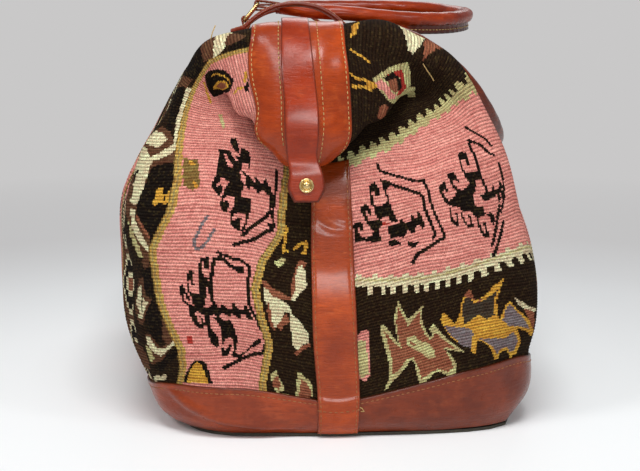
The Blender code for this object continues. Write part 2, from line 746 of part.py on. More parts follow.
plate_low = chain_top + slider_clearance
plate_top = plate_low + slider_wall
bar_radius = pull_thickness / 2
lug_hole = bar_radius * 1.42 + seat_gap + 0.0002
bar_height = lug_hole + 0.0002
slider_rest = zip_half_length - slider_back
slider_at = on_mouth(slider_rest, 0.0, plate_top + bar_height)
half = slider_length / 2
lug_half = lug_hole + lug_wall
body = [(-half, -bar_height), (-half, -bar_height - slider_wall),
        (half, -bar_height - slider_wall), (half, -bar_height), (lug_half, -bar_height)]
body += arc(lug_half, 0, 180, 8) + [(-lug_half, -bar_height)]
hole = arc(lug_hole, 0, 330, 11)
lug_ob = extrude_outline("zip_slider", body, lug_width / 2, [hole], "brass", slider_at,
                         across, along, upward)
bm = bmesh.new()
for x0, x1, z0, z1 in ((-slider_width / 2, slider_width / 2, plate_low, plate_top),
                       (-slider_width / 2, -slider_width / 2 + 0.0012, 0.0002, plate_low + 0.0002),
                       (slider_width / 2 - 0.0012, slider_width / 2, 0.0002, plate_low + 0.0002)):
    vs = [bm.verts.new(on_mouth(slider_rest + y, x, z)) for z in (z0, z1)
          for x, y in ((x0, -half), (x1, -half), (x1, half), (x0, half))]
    for f in box_faces:
        bm.faces.new([vs[k] for k in f])
bmesh.ops.recalc_face_normals(bm, faces=bm.faces)
mesh = bpy.data.meshes.new("zip_slider_plate")
bm.to_mesh(mesh)
bm.free()
plate = bpy.data.objects.new("zip_slider_plate", mesh)
bpy.context.scene.collection.objects.link(plate)
plate.hide_render = True
plate.display_type = "WIRE"
join = lug_ob.modifiers.new("plate", "BOOLEAN")
join.operation = "UNION"
join.use_self = True
join.object = plate

# the pull points to the middle of the bag when it lies flat
hole_half = lug_width / 2 + 0.0005
hole_end = lug_half + 0.0024
pull = [(-pull_width / 2, bar_radius), (-pull_width / 2, -pull_length + 0.003),
        (-pull_width / 4, -pull_length), (pull_width / 4, -pull_length),
        (pull_width / 2, -pull_length + 0.003), (pull_width / 2, bar_radius)]
slot = [(-hole_half, -bar_radius), (-hole_half, -hole_end), (hole_half, -hole_end),
        (hole_half, -bar_radius)]
extrude_outline("zip_pull", pull, pull_thickness / 2, [slot], "brass", slider_at,
                upward, across, along)


# rings: each hangs in a leather loop sewn to the roof, just outside the welt
def ring_frame(side, far):
    """Columns of the loop's edges, and the bar's centre with the directions round it."""
    a = quarter_count - 4
    cols = (a, a + 1)
    if far:
        cols = (count - a - 1, count - a)
    if side < 0:
        cols = tuple(sorted((around - cols[0], around - cols[1])))
    j = row_at(welt_v - ring_inset * mm)
    p = 0.5 * (at(cols[0], j, k_out) + at(cols[1], j, k_out))
    below = 0.5 * (at(cols[0], j - 0.3, k_out) + at(cols[1], j - 0.3, k_out))
    w = along.copy()
    e = Vector(p - below)
    e = (e - w * e.dot(w)).normalized()
    n = e.cross(w)
    if n.z < 0:
        n = -n
    return cols, j, Vector(p), e, n, w


def path_strip(name, path, origin, e, n, w, width, thickness, mat, first=()):
    """Strip whose middle line runs through 2-D points (along e, along n); up is its left."""
    stations = list(first)
    for k, (a, b) in enumerate(path):
        a0, b0 = path[max(k - 1, 0)]
        a1, b1 = path[min(k + 1, len(path) - 1)]
        t = Vector((a1 - a0, b1 - b0)).normalized()
        left = Vector((-t.y, t.x))
        low = origin + e * (a - left.x * thickness / 2) + n * (b - left.y * thickness / 2)
        stations.append((low - w * width / 2, low + w * width / 2, e * left.x + n * left.y))
    return strip(name, stations, thickness, mat, smooth=60)


def bent_bar(points, radius, sides):
    """Faces and points of a round bar along a closed line lying in one plane."""
    count_p = len(points)
    normal = (points[1] - points[0]).cross(points[count_p // 2] - points[0]).normalized()
    verts, faces = [], []
    for k, p in enumerate(points):
        t = (points[(k + 1) % count_p] - points[k - 1]).normalized()
        out = t.cross(normal)
        for m in range(sides):
            a = 2 * math.pi * m / sides
            verts.append(p + (out * math.cos(a) + normal * math.sin(a)) * radius)
    for k in range(count_p):
        for m in range(sides):
            q, r = (k + 1) % count_p, (m + 1) % sides
            faces.append((k * sides + m, q * sides + m, q * sides + r, k * sides + r))
    return faces, verts


bar_centre = {}
loop_inner = ring_bar / 2 + seat_gap
loop_middle = loop_inner + loop_thickness / 2
for side, side_name, lean, ring_rise in ((-1, "left", left_ring_lean, left_ring_rise),
                                         (1, "right", right_ring_lean, right_ring_rise)):
    for far in (False, True):
        tag = side_name + ("_far" if far else "_near")
        cols, j, p, e, n, w = ring_frame(side, far)
        centre = p + n * ring_rise
        # sewn foot of the loop, lying on the kilim below the ring
        foot = []
        j_end = row_at(welt_v - (ring_inset + loop_foot) * mm)
        rows = [j_end] + [k for k in range(int(math.ceil(j_end)), int(math.floor(j)) + 1)
                          if k - j_end > 0.05 and j - 0.3 - k > 0.05]
        c0, c1 = sorted(cols, key=lambda c: at(c, j, 0)[1])
        for k in rows:
            up = normals[c0 % around, int(round(k))] + normals[c1 % around, int(round(k))]
            foot.append((at(c0, k, l_in), at(c1, k, l_in), up))
        base_n = seat_gap + loop_thickness / 2
        low = min(ring_rise, base_n + loop_middle + 0.0002)
        curl = [(a, low + b) for a, b in arc(loop_middle, -90, 0, 4)]
        if ring_rise - low > 0.0005:
            curl += [(a, ring_rise + b) for a, b in arc(loop_middle, 0, 180, 8)]
            curl += [(-loop_middle, base_n + loop_thickness + 2 * seat_gap)]
        else:
            curl += [(a, low + b) for a, b in arc(loop_middle, 20, 205, 9)]
        lead = [(-0.0035, base_n)]
        path_strip("ring_loop_" + tag, lead + curl, p, e, n, w, loop_width, loop_thickness,
                   "cognac_leather", first=foot)
        # the ring, leaning to the right
        out_dir = Vector((1, 0, 0))
        up_dir = out_dir.cross(w)
        reach = out_dir * math.cos(lean) + up_dir * math.sin(lean)
        hw = ring_width / 2 - ring_bar / 2
        h = ring_height - ring_bar
        outline = []
        inner_w, inner_h = hw - ring_corner, h - ring_corner
        for cx, cy, a0 in ((inner_w, inner_h, 0), (-inner_w, inner_h, 90),
                           (-inner_w, ring_corner, 180), (inner_w, ring_corner, 270)):
            outline += arc(ring_corner, a0, a0 + 90, 3, (cx, cy))
        pts = [centre + w * a + reach * b for a, b in outline]
        faces, verts = bent_bar(pts, ring_bar / 2, 8)
        ob = add_object("ring_" + tag, verts, faces, "brass", origin=centre)
        outward(ob)
        ob.data.shade_smooth()
        bar_centre[tag] = (centre, centre + reach * h, w)


def smooth_path(points, count_p):
    """Evenly spaced points on a smooth curve through the given ones."""
    pts = np.array([tuple(p) for p in points])
    knots = np.concatenate([[0.0], np.cumsum(np.linalg.norm(np.diff(pts, axis=0), axis=1))])
    fine = np.linspace(0, knots[-1], 400)
    dense = np.array([hermite_row(x, knots) @ pts for x in fine])
    length = np.concatenate([[0.0], np.cumsum(np.linalg.norm(np.diff(dense, axis=0), axis=1))])
    out = []
    for target in np.linspace(0, length[-1], count_p):
        k = min(int(np.searchsorted(length, target)), len(fine) - 1)
        if k == 0:
            out.append(dense[0])
            continue
        f = (target - length[k - 1]) / (length[k] - length[k - 1])
        out.append(dense[k - 1] * (1 - f) + dense[k] * f)
    return [Vector(p) for p in out]


def rolled_handle(name, points, flange_dirs, flange_share, stations):
    """Round roll of leather with a flat sewn flange along its underside."""
    path = smooth_path(points, stations)
    r = handle_diameter / 2
    half_f = flange_thickness / 2
    root = math.degrees(math.asin(half_f / r))
    verts, faces = [], []
    for k, p in enumerate(path):
        t = (path[min(k + 1, stations - 1)] - path[max(k - 1, 0)]).normalized()
        d = flange_dirs(p, t)
        d = (d - t * d.dot(t)).normalized()
        s = t.cross(d)
        depth = flange_depth * flange_share(k / (stations - 1), p)
        section = [(half_f, r + 0.0004 + depth), (-half_f, r + 0.0004 + depth)]
        for m in range(9):
            a = math.radians(90 + root + (360 - 2 * root) * m / 8)
            section.append((r * math.cos(a), r * math.sin(a)))
        verts += [p + s * a + d * b for a, b in section]
    m = 11
    for k in range(stations - 1):
        for q in range(m):
            faces.append((k * m + q, k * m + (q + 1) % m, (k + 1) * m + (q + 1) % m, (k + 1) * m + q))
    faces += [tuple(range(m)), tuple(range((stations - 1) * m, stations * m))]
    origin = 0.5 * (points[0] + points[-1])
    ob = add_object(name, verts, faces, "cognac_leather", origin=origin)
    outward(ob)
    ob.data.shade_smooth()
    ob.data.set_sharp_from_angle(angle=math.radians(50))
    return ob


def ease(x, a, b):
    s = min(max((x - a) / (b - a), 0.0), 1.0)
    return s * s * (3 - 2 * s)


# left handle: thrown over the roof to the right; right handle: hanging down the right shoulder
left_near, left_far = bar_centre["left_near"][1], bar_centre["left_far"][1]
tab = handle_tab_length + seat_gap
rest = left_handle_reach
near_line = ((tab, 0.0, -0.0026), (0.048, 0.0, -0.0065), (0.085, 0.001, -0.0090),
             (0.120, 0.006, -0.0125), (0.152, 0.016, -0.0145), (0.180, 0.036, -0.0145),
             (0.199, 0.064, -0.0130))
far_line = ((0.199, 0.064, -0.0040), (0.180, 0.036, -0.0010), (0.152, 0.016, 0.0005),
            (0.120, 0.006, 0.0010), (0.085, 0.001, 0.0010), (0.048, 0.0, 0.0008), (tab, 0.0, 0.0003))
share = rest / 0.2075
pts = [left_near + Vector((tab + (a - tab) * share, b, c)) for a, b, c in near_line]
pts.append(0.5 * (left_near + left_far) + Vector((rest, 0, -0.0085)))
pts += [left_far + Vector((tab + (a - tab) * share, -b, c)) for a, b, c in far_line]
flange_start = left_near.x + flange_reach * share
rolled_handle("left_handle", pts, lambda p, t: Vector((0, 0, -1)),
              lambda f, p: ease(p.x, flange_start, flange_start + flange_rise), 45)

right_near, right_far = bar_centre["right_near"][1], bar_centre["right_far"][1]
sx, sz = right_handle_reach / 0.143, right_handle_drop / 0.113
hang = ((tab, 0.0, -0.0035), (0.042, 0.0, -0.0100), (0.070, 0.001, -0.0260), (0.097, 0.007, -0.0500),
        (0.118, 0.025, -0.0770), (0.134, 0.060, -0.1000))
pts = [right_near + Vector((tab + (a - tab) * sx, b, c * sz)) for a, b, c in hang]
grip = Vector((right_handle_reach, 0, -right_handle_drop))
pts.append(0.5 * (right_near + right_far) + grip)
pts += [right_far + Vector((tab + (a - tab) * sx, -b, c * sz)) for a, b, c in reversed(hang)]
middle_right = 0.5 * (right_near + right_far) + Vector((0.06, 0, -0.03))
rolled_handle("right_handle", pts, lambda p, t: middle_right - p,
              lambda f, p: ease(f, 0.12, 0.2) * (1 - ease(f, 0.8, 0.88)), 45)

# flat leather ends of the handles, each folded round its ring's upper bar
for tag in ("left_near", "left_far", "right_near", "right_far"):
    centre, top, w = bar_centre[tag]
    fall = -0.0026 if tag == "left_near" else (0.0003 if tag == "left_far" else -0.0035)
    e = Vector((handle_tab_length, 0, fall)).normalized()
    n = e.cross(w).normalized()
    if n.z < 0:
        n = -n
    inner = loop_middle
    curve = [(handle_tab_length, inner * 0.92), (handle_tab_length * 0.5, inner)]
    curve += arc(inner, 90, 270, 10)
    curve += [(handle_tab_length * 0.5, -inner), (handle_tab_length, -inner * 0.92)]
    path_strip("handle_end_" + tag, curve, top, e, n, w, loop_width, loop_thickness,
               "cognac_leather")


# closing straps: each arches over the mouth between two sewn feet
def closing_strap(tag, far):
    a = quarter_count - 6
    right = (a, a + 1) if not far else (count - a - 1, count - a)
    left = tuple(around - c for c in right)
    outer_v = welt_v - closing_inset * mm
    foot_rows = [row_at(outer_v - closing_foot * mm * share) for share in (1.0, 0.5, 0.0)]

    def foot(cols):
        c0, c1 = sorted(cols, key=lambda c: at(c, 1, 0)[1])
        out = []
        for k in foot_rows:
            up = normals[c0 % around, int(round(k))] + normals[c1 % around, int(round(k))]
            out.append((Vector(at(c0, k, l_in)), Vector(at(c1, k, l_in)), Vector(up).normalized()))
        return out

    start, end = foot(left), foot(right)[::-1]
    a0, a1, _ = start[-1]
    b0, b1, _ = end[0]
    arch = []
    steps = 16
    for k in range(1, steps):
        f = k / steps
        x = 0.25 * (1 - math.cos(math.pi * f)) + 0.5 * f
        rise = closing_rise * (1 - abs(2 * x - 1) ** 2.3)
        low0, low1 = a0.lerp(b0, x) + upward * rise, a1.lerp(b1, x) + upward * rise
        slope = closing_rise * 2.3 * abs(2 * x - 1) ** 1.3 * (1 if x < 0.5 else -1) * 2
        t = Vector((b0.x - a0.x, 0, slope)).normalized()
        arch.append((low0, low1, t.cross(along)))
    return strip("closing_strap_" + tag, start + arch + end, closing_thickness,
                 "dark_cognac_leather", smooth=60)


closing_strap("near", False)
closing_strap("far", True)
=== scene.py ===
import math

import bmesh
import bpy
import numpy as np
from mathutils import Matrix, Vector


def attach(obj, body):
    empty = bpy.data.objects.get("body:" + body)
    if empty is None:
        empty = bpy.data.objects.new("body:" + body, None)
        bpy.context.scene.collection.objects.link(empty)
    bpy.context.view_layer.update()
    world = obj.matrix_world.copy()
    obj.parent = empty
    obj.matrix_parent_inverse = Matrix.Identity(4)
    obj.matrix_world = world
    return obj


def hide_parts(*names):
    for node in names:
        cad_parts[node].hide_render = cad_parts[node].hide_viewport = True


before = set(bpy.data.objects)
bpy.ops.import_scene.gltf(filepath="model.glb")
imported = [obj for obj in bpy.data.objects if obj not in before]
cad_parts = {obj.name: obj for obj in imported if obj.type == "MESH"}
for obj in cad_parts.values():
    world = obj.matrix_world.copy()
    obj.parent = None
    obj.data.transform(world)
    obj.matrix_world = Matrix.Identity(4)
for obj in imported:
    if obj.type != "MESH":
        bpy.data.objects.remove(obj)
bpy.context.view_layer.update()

scene = bpy.context.scene

# the bag's body as in the part's source: u runs along the girth, v up from the trim's edge, in mm
bag = {
    "girthEnd": 770.0,
    "mouth": 385.0,
    "height": 0.350,
    "length": 0.500,
    "roofFall": 0.011,         # the mouth is this much lower at the far end
    "fallStart": 0.35,         # share of the height where that fall begins, and over how much it grows
    "fallOver": 0.5,
    "mouthReach": 0.416,       # share of the length from the middle to the mouth's ends
    "edge": 0.6,               # mm from an end seam to the edge of a half
    "cloth": 0.003,
    "overCloth": 0.0033,       # where leather that lies on the cloth begins
    "seat": 0.0003,            # between two pieces that touch
    "leather": 0.002,
    "strap": 0.0025,
    "foldCrease": 1.0,         # strength of the soft folds, 0 for a smooth bag
    # where each half hangs out or in: girth place, height, reach along, reach up, mm outwards
    "slackPlaces": {
        -1: ((158, 305, 26, 24, 6.0), (156, 196, 26, 24, 5.5), (150, 236, 24, 18, -2.5),
             (160, 96, 27, 26, -7.0), (150, -4, 30, 18, -4.0), (0, 76, 60, 22, 2.7),
             (0, 122, 60, 18, -2.0)),
        1: ((160, 262, 24, 38, 9.5), (174, 312, 26, 22, 9.0), (148, 135, 40, 44, -10.5),
            (148, -4, 30, 18, -6.0), (0, 76, 60, 22, 2.7), (0, 122, 60, 18, -2.0))},
}
# Guide points of the body in mm. Each entry is one guide line from the foot to the mouth: its place
# along the girth, then its points. Line 0 is the end seam, 146 the corner, 385 the middle of the long side.
heights = (-50, -25, 0, 55, 110, 160, 205, 245, 280, 310, 335, 360, 385)
rightGuides = (
    (0, ((0, -246, 6), (0, -255, 16), (0, -259, 34), (-4, -266, 88), (-7, -267, 142),
         (-8, -262, 191), (-7, -241, 231), (-7, -208, 258), (-8, -188, 280), (-14, -208, 288),
         (-20, -233, 275), (-25, -255, 252), (-28, -272, 224))),
    (25, ((25, -245, 6), (25, -254, 18), (26, -259, 39), (24, -266, 94), (22, -267, 148),
          (20, -262, 197), (18, -240, 236), (15, -209, 261), (11, -191, 283), (6, -213, 286),
          (-3, -245, 256), (-14, -266, 239), (-30, -281, 245))),
    (50, ((50, -244, 6), (51, -254, 20), (52, -259, 45), (52, -266, 100), (51, -268, 154),
          (48, -261, 202), (43, -238, 240), (36, -211, 266), (30, -196, 287), (22, -224, 282),
          (11, -260, 257), (-8, -279, 258), (-30, -286, 266))),
    (75, ((74, -243, 6), (76, -253, 22), (78, -258, 51), (79, -265, 106), (78, -268, 160),
          (74, -260, 208), (68, -237, 246), (58, -217, 273), (48, -209, 291), (35, -242, 272),
          (15, -262, 273), (-8, -276, 280), (-31, -283, 291))),
    (100, ((98, -241, 6), (102, -251, 24), (104, -256, 58), (105, -264, 112), (104, -267, 166),
           (99, -257, 214), (91, -236, 253), (79, -221, 280), (65, -219, 294), (42, -244, 291),
           (14, -263, 303), (-9, -273, 310), (-31, -276, 313))),
    (125, ((124, -236, 6), (131, -245, 27), (134, -249, 62), (137, -256, 116), (136, -258, 170),
           (127, -250, 220), (112, -233, 261), (91, -222, 291), (65, -228, 309), (36, -245, 317),
           (11, -257, 326), (-10, -263, 331), (-31, -264, 331))),
    (146, ((142, -226, 6), (153, -234, 30), (158, -237, 64), (163, -241, 118), (161, -243, 172),
           (148, -238, 224), (126, -229, 267), (98, -225, 302), (67, -231, 322), (37, -242, 333),
           (12, -248, 340), (-10, -251, 341), (-31, -251, 341))),
    (190, ((150, -194, 6), (168, -202, 28), (171, -204, 58), (176, -206, 112), (169, -206, 166),
           (151, -203, 217), (128, -198, 262), (102, -195, 302), (70, -197, 325), (38, -203, 338),
           (13, -206, 343), (-9, -208, 345), (-30, -208, 345))),
    (260, ((152, -130, 6), (171, -132, 22), (174, -132, 48), (184, -133, 102), (177, -133, 156),
           (155, -132, 209), (131, -131, 250), (104, -130, 286), (71, -130, 313), (39, -131, 330),
           (14, -133, 339), (-8, -135, 343), (-30, -136, 345))),
    (385, ((152, 0, 6), (172, 0, 20), (176, 0, 42), (186, 0, 96), (181, 0, 150), (160, 0, 206),
           (134, 0, 248), (106, 0, 285), (72, 0, 312), (40, 0, 329), (15, 0, 339), (-8, 0, 343),
           (-30, 0, 345))),
)
leftGuides = (
    rightGuides[0],
    (25, ((-25, -245, 6), (-25, -254, 17), (-26, -259, 38), (-30, -266, 92), (-31, -267, 147),
          (-31, -262, 195), (-29, -240, 235), (-28, -209, 261), (-29, -191, 283), (-34, -215, 286),
          (-40, -246, 257), (-42, -267, 239), (-30, -281, 245))),
    (50, ((-50, -243, 6), (-52, -253, 18), (-53, -258, 43), (-55, -266, 97), (-57, -268, 152),
          (-57, -262, 200), (-55, -240, 240), (-53, -212, 266), (-52, -197, 287), (-58, -226, 283),
          (-63, -261, 259), (-50, -279, 260), (-30, -286, 266))),
    (75, ((-72, -242, 6), (-76, -252, 19), (-79, -256, 46), (-83, -265, 101), (-85, -268, 156),
          (-84, -261, 204), (-80, -240, 244), (-76, -219, 273), (-73, -210, 291), (-79, -243, 276),
          (-65, -264, 280), (-50, -276, 285), (-31, -283, 291))),
    (100, ((-94, -239, 6), (-100, -249, 20), (-104, -254, 47), (-110, -262, 102),
           (-112, -265, 157), (-110, -257, 206), (-104, -239, 247), (-98, -223, 276),
           (-93, -220, 292), (-88, -238, 293), (-71, -255, 303), (-52, -268, 308),
           (-31, -276, 313))),
    (125, ((-111, -230, 6), (-124, -240, 20), (-130, -244, 46), (-140, -251, 100),
           (-143, -253, 155), (-140, -248, 207), (-131, -235, 249), (-121, -227, 281),
           (-110, -227, 301), (-96, -237, 314), (-76, -247, 324), (-54, -258, 330),
           (-31, -264, 331))),
    (146, ((-121, -219, 6), (-140, -228, 19), (-148, -232, 44), (-160, -237, 98),
           (-166, -239, 153), (-163, -236, 206), (-149, -229, 249), (-134, -226, 284),
           (-118, -228, 309), (-99, -235, 325), (-77, -243, 336), (-55, -249, 341),
           (-31, -251, 341))),
    (190, ((-128, -192, 6), (-149, -197, 18), (-159, -199, 40), (-178, -201, 94),
           (-181, -202, 149), (-177, -200, 204), (-153, -197, 248), (-136, -195, 284),
           (-121, -196, 312), (-102, -200, 331), (-78, -203, 340), (-54, -207, 344),
           (-30, -208, 345))),
    (260, ((-130, -130, 6), (-151, -131, 17), (-161, -132, 39), (-183, -133, 93),
           (-186, -133, 148), (-182, -132, 203), (-157, -131, 249), (-139, -130, 285),
           (-122, -130, 313), (-102, -131, 330), (-78, -133, 340), (-54, -135, 344),
           (-30, -136, 345))),
    (385, ((-130, 0, 6), (-152, 0, 17), (-162, 0, 39), (-185, 0, 93), (-189, 0, 148),
           (-185, 0, 204), (-161, 0, 250), (-142, 0, 286), (-124, 0, 312), (-102, 0, 328),
           (-77, 0, 338), (-54, 0, 343), (-30, 0, 345))),
)


def splineWeights(x, knots):
    x = np.asarray(x, float)
    n = len(knots)
    step = np.diff(knots)
    i = np.clip(np.searchsorted(knots, x) - 1, 0, n - 2)
    s = (x - knots[i]) / step[i]
    slopes = np.zeros((n, n))
    slopes[0, :2] = -1 / step[0], 1 / step[0]
    slopes[-1, -2:] = -1 / step[-1], 1 / step[-1]
    for k in range(1, n - 1):
        a, b = step[k - 1], step[k]
        slopes[k, k - 1:k + 2] = -b / (a * (a + b)), (b - a) / (a * b), a / (b * (a + b))
    weights = np.zeros((len(x), n))
    rows = np.arange(len(x))
    weights[rows, i] = 2 * s ** 3 - 3 * s ** 2 + 1
    weights[rows, i + 1] = 3 * s ** 2 - 2 * s ** 3
    weights += ((s ** 3 - 2 * s ** 2 + s) * step[i])[:, None] * slopes[i]
    weights += ((s ** 3 - s ** 2) * step[i])[:, None] * slopes[i + 1]
    return weights


def guideNet(side):
    own, other = (rightGuides, leftGuides) if side > 0 else (leftGuides, rightGuides)
    flip = np.array((1, -1, 1))
    places = [g[0] for g in own]
    lines = [np.array(g[1], float) for g in own]
    beyond = np.array(other[1][1], float)
    farPlaces = [bag["girthEnd"] - p for p in places[-2::-1]]
    farLines = [line * flip for line in lines[-2::-1]]
    places = [-other[1][0]] + places + farPlaces + [bag["girthEnd"] + other[1][0]]
    lines = [beyond] + lines + farLines + [beyond * flip]
    return np.array(places, float), np.array(lines) * 0.001


nets = {1: guideNet(1), -1: guideNet(-1)}
heightKnots = np.array(heights, float)


def smooth(x, start=0.0, end=1.0):
    s = np.clip((np.asarray(x, float) - start) / (end - start), 0, 1)
    return s * s * (3 - 2 * s)


def innerPoint(side, u, v):
    # point on the inside of the cloth, in metres; past an end seam it runs on round the other half
    u, v = np.broadcast_arrays(np.asarray(u, float), np.asarray(v, float))
    shape = u.shape
    u, v = u.ravel(), v.ravel()
    end = bag["girthEnd"]
    past = (u < 0) | (u > end)
    u = np.where(u < 0, -u, np.where(u > end, 2 * end - u, u))
    p = np.empty((len(u), 3))
    for half, chosen in ((side, ~past), (-side, past)):
        if chosen.any():
            places, lines = nets[half]
            p[chosen] = np.einsum("ai,ijk,aj->ak", splineWeights(u[chosen], places), lines,
                                  splineWeights(v[chosen], heightKnots), optimize=True)
    share = np.clip((p[:, 2] / bag["height"] - bag["fallStart"]) / bag["fallOver"], 0, 1)
    reach = bag["mouthReach"]
    p[:, 2] -= bag["roofFall"] * share * (p[:, 1] / bag["length"] + reach) / (2 * reach)
    return p.reshape(shape + (3,))


def unit(n):
    return n / np.linalg.norm(n, axis=-1, keepdims=True)


def outwardAt(side, u, v, step=0.4):
    du = innerPoint(side, u + step, v) - innerPoint(side, u - step, v)
    dv = innerPoint(side, u, v + step) - innerPoint(side, u, v - step)
    return unit(side * np.cross(du, dv))


# both halves share one outward direction at the mouth
mouthPlaces = np.linspace(4, bag["girthEnd"] - 4, 221)
mouthNormals = unit(outwardAt(1, mouthPlaces, bag["mouth"]) + outwardAt(-1, mouthPlaces, bag["mouth"]))


def mouthNormalAt(u):
    return np.stack([np.interp(u, mouthPlaces, mouthNormals[:, k]) for k in range(3)], -1)


def waves(u, v, parts):
    return sum(size * np.sin(u / a + v / b + phase) for size, a, b, phase in parts)


def endDistance(u):
    # mm along the girth to the nearer end seam
    return np.minimum(np.abs(u), np.abs(bag["girthEnd"] - u))


def slump(side, u, v):
    # soft folds and slack that every layer of the bag shares, in metres
    folds = waves(u, v, ((0.8, 21, 47, 0.7 * side), (0.6, -15, 33, 1.9), (0.5, 34, -19, 4.1 + side),
                         (0.35, 9, 27, 2.2)))
    folds = folds * smooth(v, -46, -10) * (1 - smooth(v, 285, 330))
    slack = 0.0
    for overU, overV, wide, tall, lift in bag["slackPlaces"][side]:
        slack = slack + lift * np.exp(-((u - overU) / wide) ** 2 - ((v - overV) / tall) ** 2)
    return 0.001 * (bag["foldCrease"] * folds * smooth(endDistance(u), 4, 30) + slack)


def laid(side, u, v, height):
    # points at a height over the inside of the cloth, with their outward directions
    u, v = np.broadcast_arrays(np.asarray(u, float), np.asarray(v, float))
    n = outwardAt(side, u, v)
    share = smooth(v, 378, 385)[..., None]
    n = unit(n * (1 - share) + mouthNormalAt(np.abs(u)) * share)
    height = np.asarray(height, float) + slump(side, u, v)
    return innerPoint(side, u, v) + n * height[..., None], n


def uAtY(side, y, v=335.0):
    # the girth place whose point at height v has this y
    low, high = 150.0, bag["mouth"]
    for _ in range(40):
        mid = 0.5 * (low + high)
        if innerPoint(side, mid, v)[1] < y:
            low = mid
        else:
            high = mid
    return 0.5 * (low + high)


def feed(tree, node, feeds):
    for socket, value in feeds.items():
        if isinstance(value, bpy.types.NodeSocket):
            tree.links.new(value, node.inputs[socket])
        else:
            node.inputs[socket].default_value = value


def put(tree, kind, feeds=None, **settings):
    node = tree.nodes.new(kind)
    for key, value in settings.items():
        setattr(node, key, value)
    feed(tree, node, feeds or {})
    return node


def out(tree, kind, feeds=None, **settings):
    return put(tree, kind, feeds, **settings).outputs[0]


def linear(r, g, b):
    return tuple((c / 255 / 12.92) if c <= 10 else ((c / 255 + 0.055) / 1.055) ** 2.4 for c in (r, g, b))


def rgba(colour, share=1.0):
    return (*linear(*(c * share for c in colour)), 1.0)


def mixed(tree, share, a, b, blend="MIX"):
    node = put(tree, "ShaderNodeMix", {0: share, 6: a, 7: b}, data_type="RGBA", blend_type=blend)
    return node.outputs[2]


def sums(tree, kind, a, b=0.5, c=0.5):
    return out(tree, "ShaderNodeMath", {0: a, 1: b, 2: c}, operation=kind)


def times(tree, a, b):
    return sums(tree, "MULTIPLY", a, b)


def plus(tree, a, b):
    return sums(tree, "ADD", a, b)


def noise(tree, vector, scale, detail=3.0, roughness=0.55, stretch=None):
    if stretch:
        vector = out(tree, "ShaderNodeMapping", {"Vector": vector, "Scale": stretch})
    return put(tree, "ShaderNodeTexNoise", {"Vector": vector, "Scale": scale, "Detail": detail,
                                            "Roughness": roughness}).outputs["Fac"]


def ramp(tree, value, low, high, outLow=0.0, outHigh=1.0):
    return out(tree, "ShaderNodeMapRange", {0: value, 1: low, 2: high, 3: outLow, 4: outHigh})


def shaderOf(name):
    material = bpy.data.materials.new(name)
    material.use_nodes = True
    tree = material.node_tree
    place = put(tree, "ShaderNodeTexCoord").outputs["Object"]
    return material, tree, tree.nodes["Principled BSDF"], place


def bumped(tree, shader, height, strength, distance, under=None):
    feeds = {"Strength": strength, "Distance": distance, "Height": height}
    if under:
        feeds["Normal"] = under
    bump = out(tree, "ShaderNodeBump", feeds)
    feed(tree, shader, {"Normal": bump})
    return bump


kilimCloth = {
    "ribPitch": 2.7,           # mm up the cloth
    "ribDepth": 0.00026,
    "warpPitch": 1.8,          # mm along the cloth
    "nearEnd": 150,            # mm of girth that the photograph's end takes
    "nearColumn": 1.25,        # mm of cloth between points round the near end
    "farColumn": 3.1,
    "rows": 294,
    "innerRows": 15,
    "uneven": 1.3,             # mm that the rows wander
    "foot": -12.0,             # hidden behind the trim
    "topLine": ((0, 17, 188, 200), (376, 384.4, 384.4, 380)),      # mm from an end seam, heights
}
dyeColours = {
    "pink": (228, 146, 134), "brown": (41, 28, 18), "black": (27, 20, 16), "cream": (226, 214, 172),
    "pistachio": (196, 186, 130), "mustard": (214, 158, 62), "rust": (150, 90, 66), "umber": (98, 64, 46),
    "mauve": (126, 112, 114), "grey": (66, 56, 46), "olive": (132, 106, 58), "straw": (190, 154, 84),
    "sage": (136, 128, 90), "red": (176, 56, 48),
}
dyes = {name: np.array(linear(*colour)) for name, colour in dyeColours.items()}


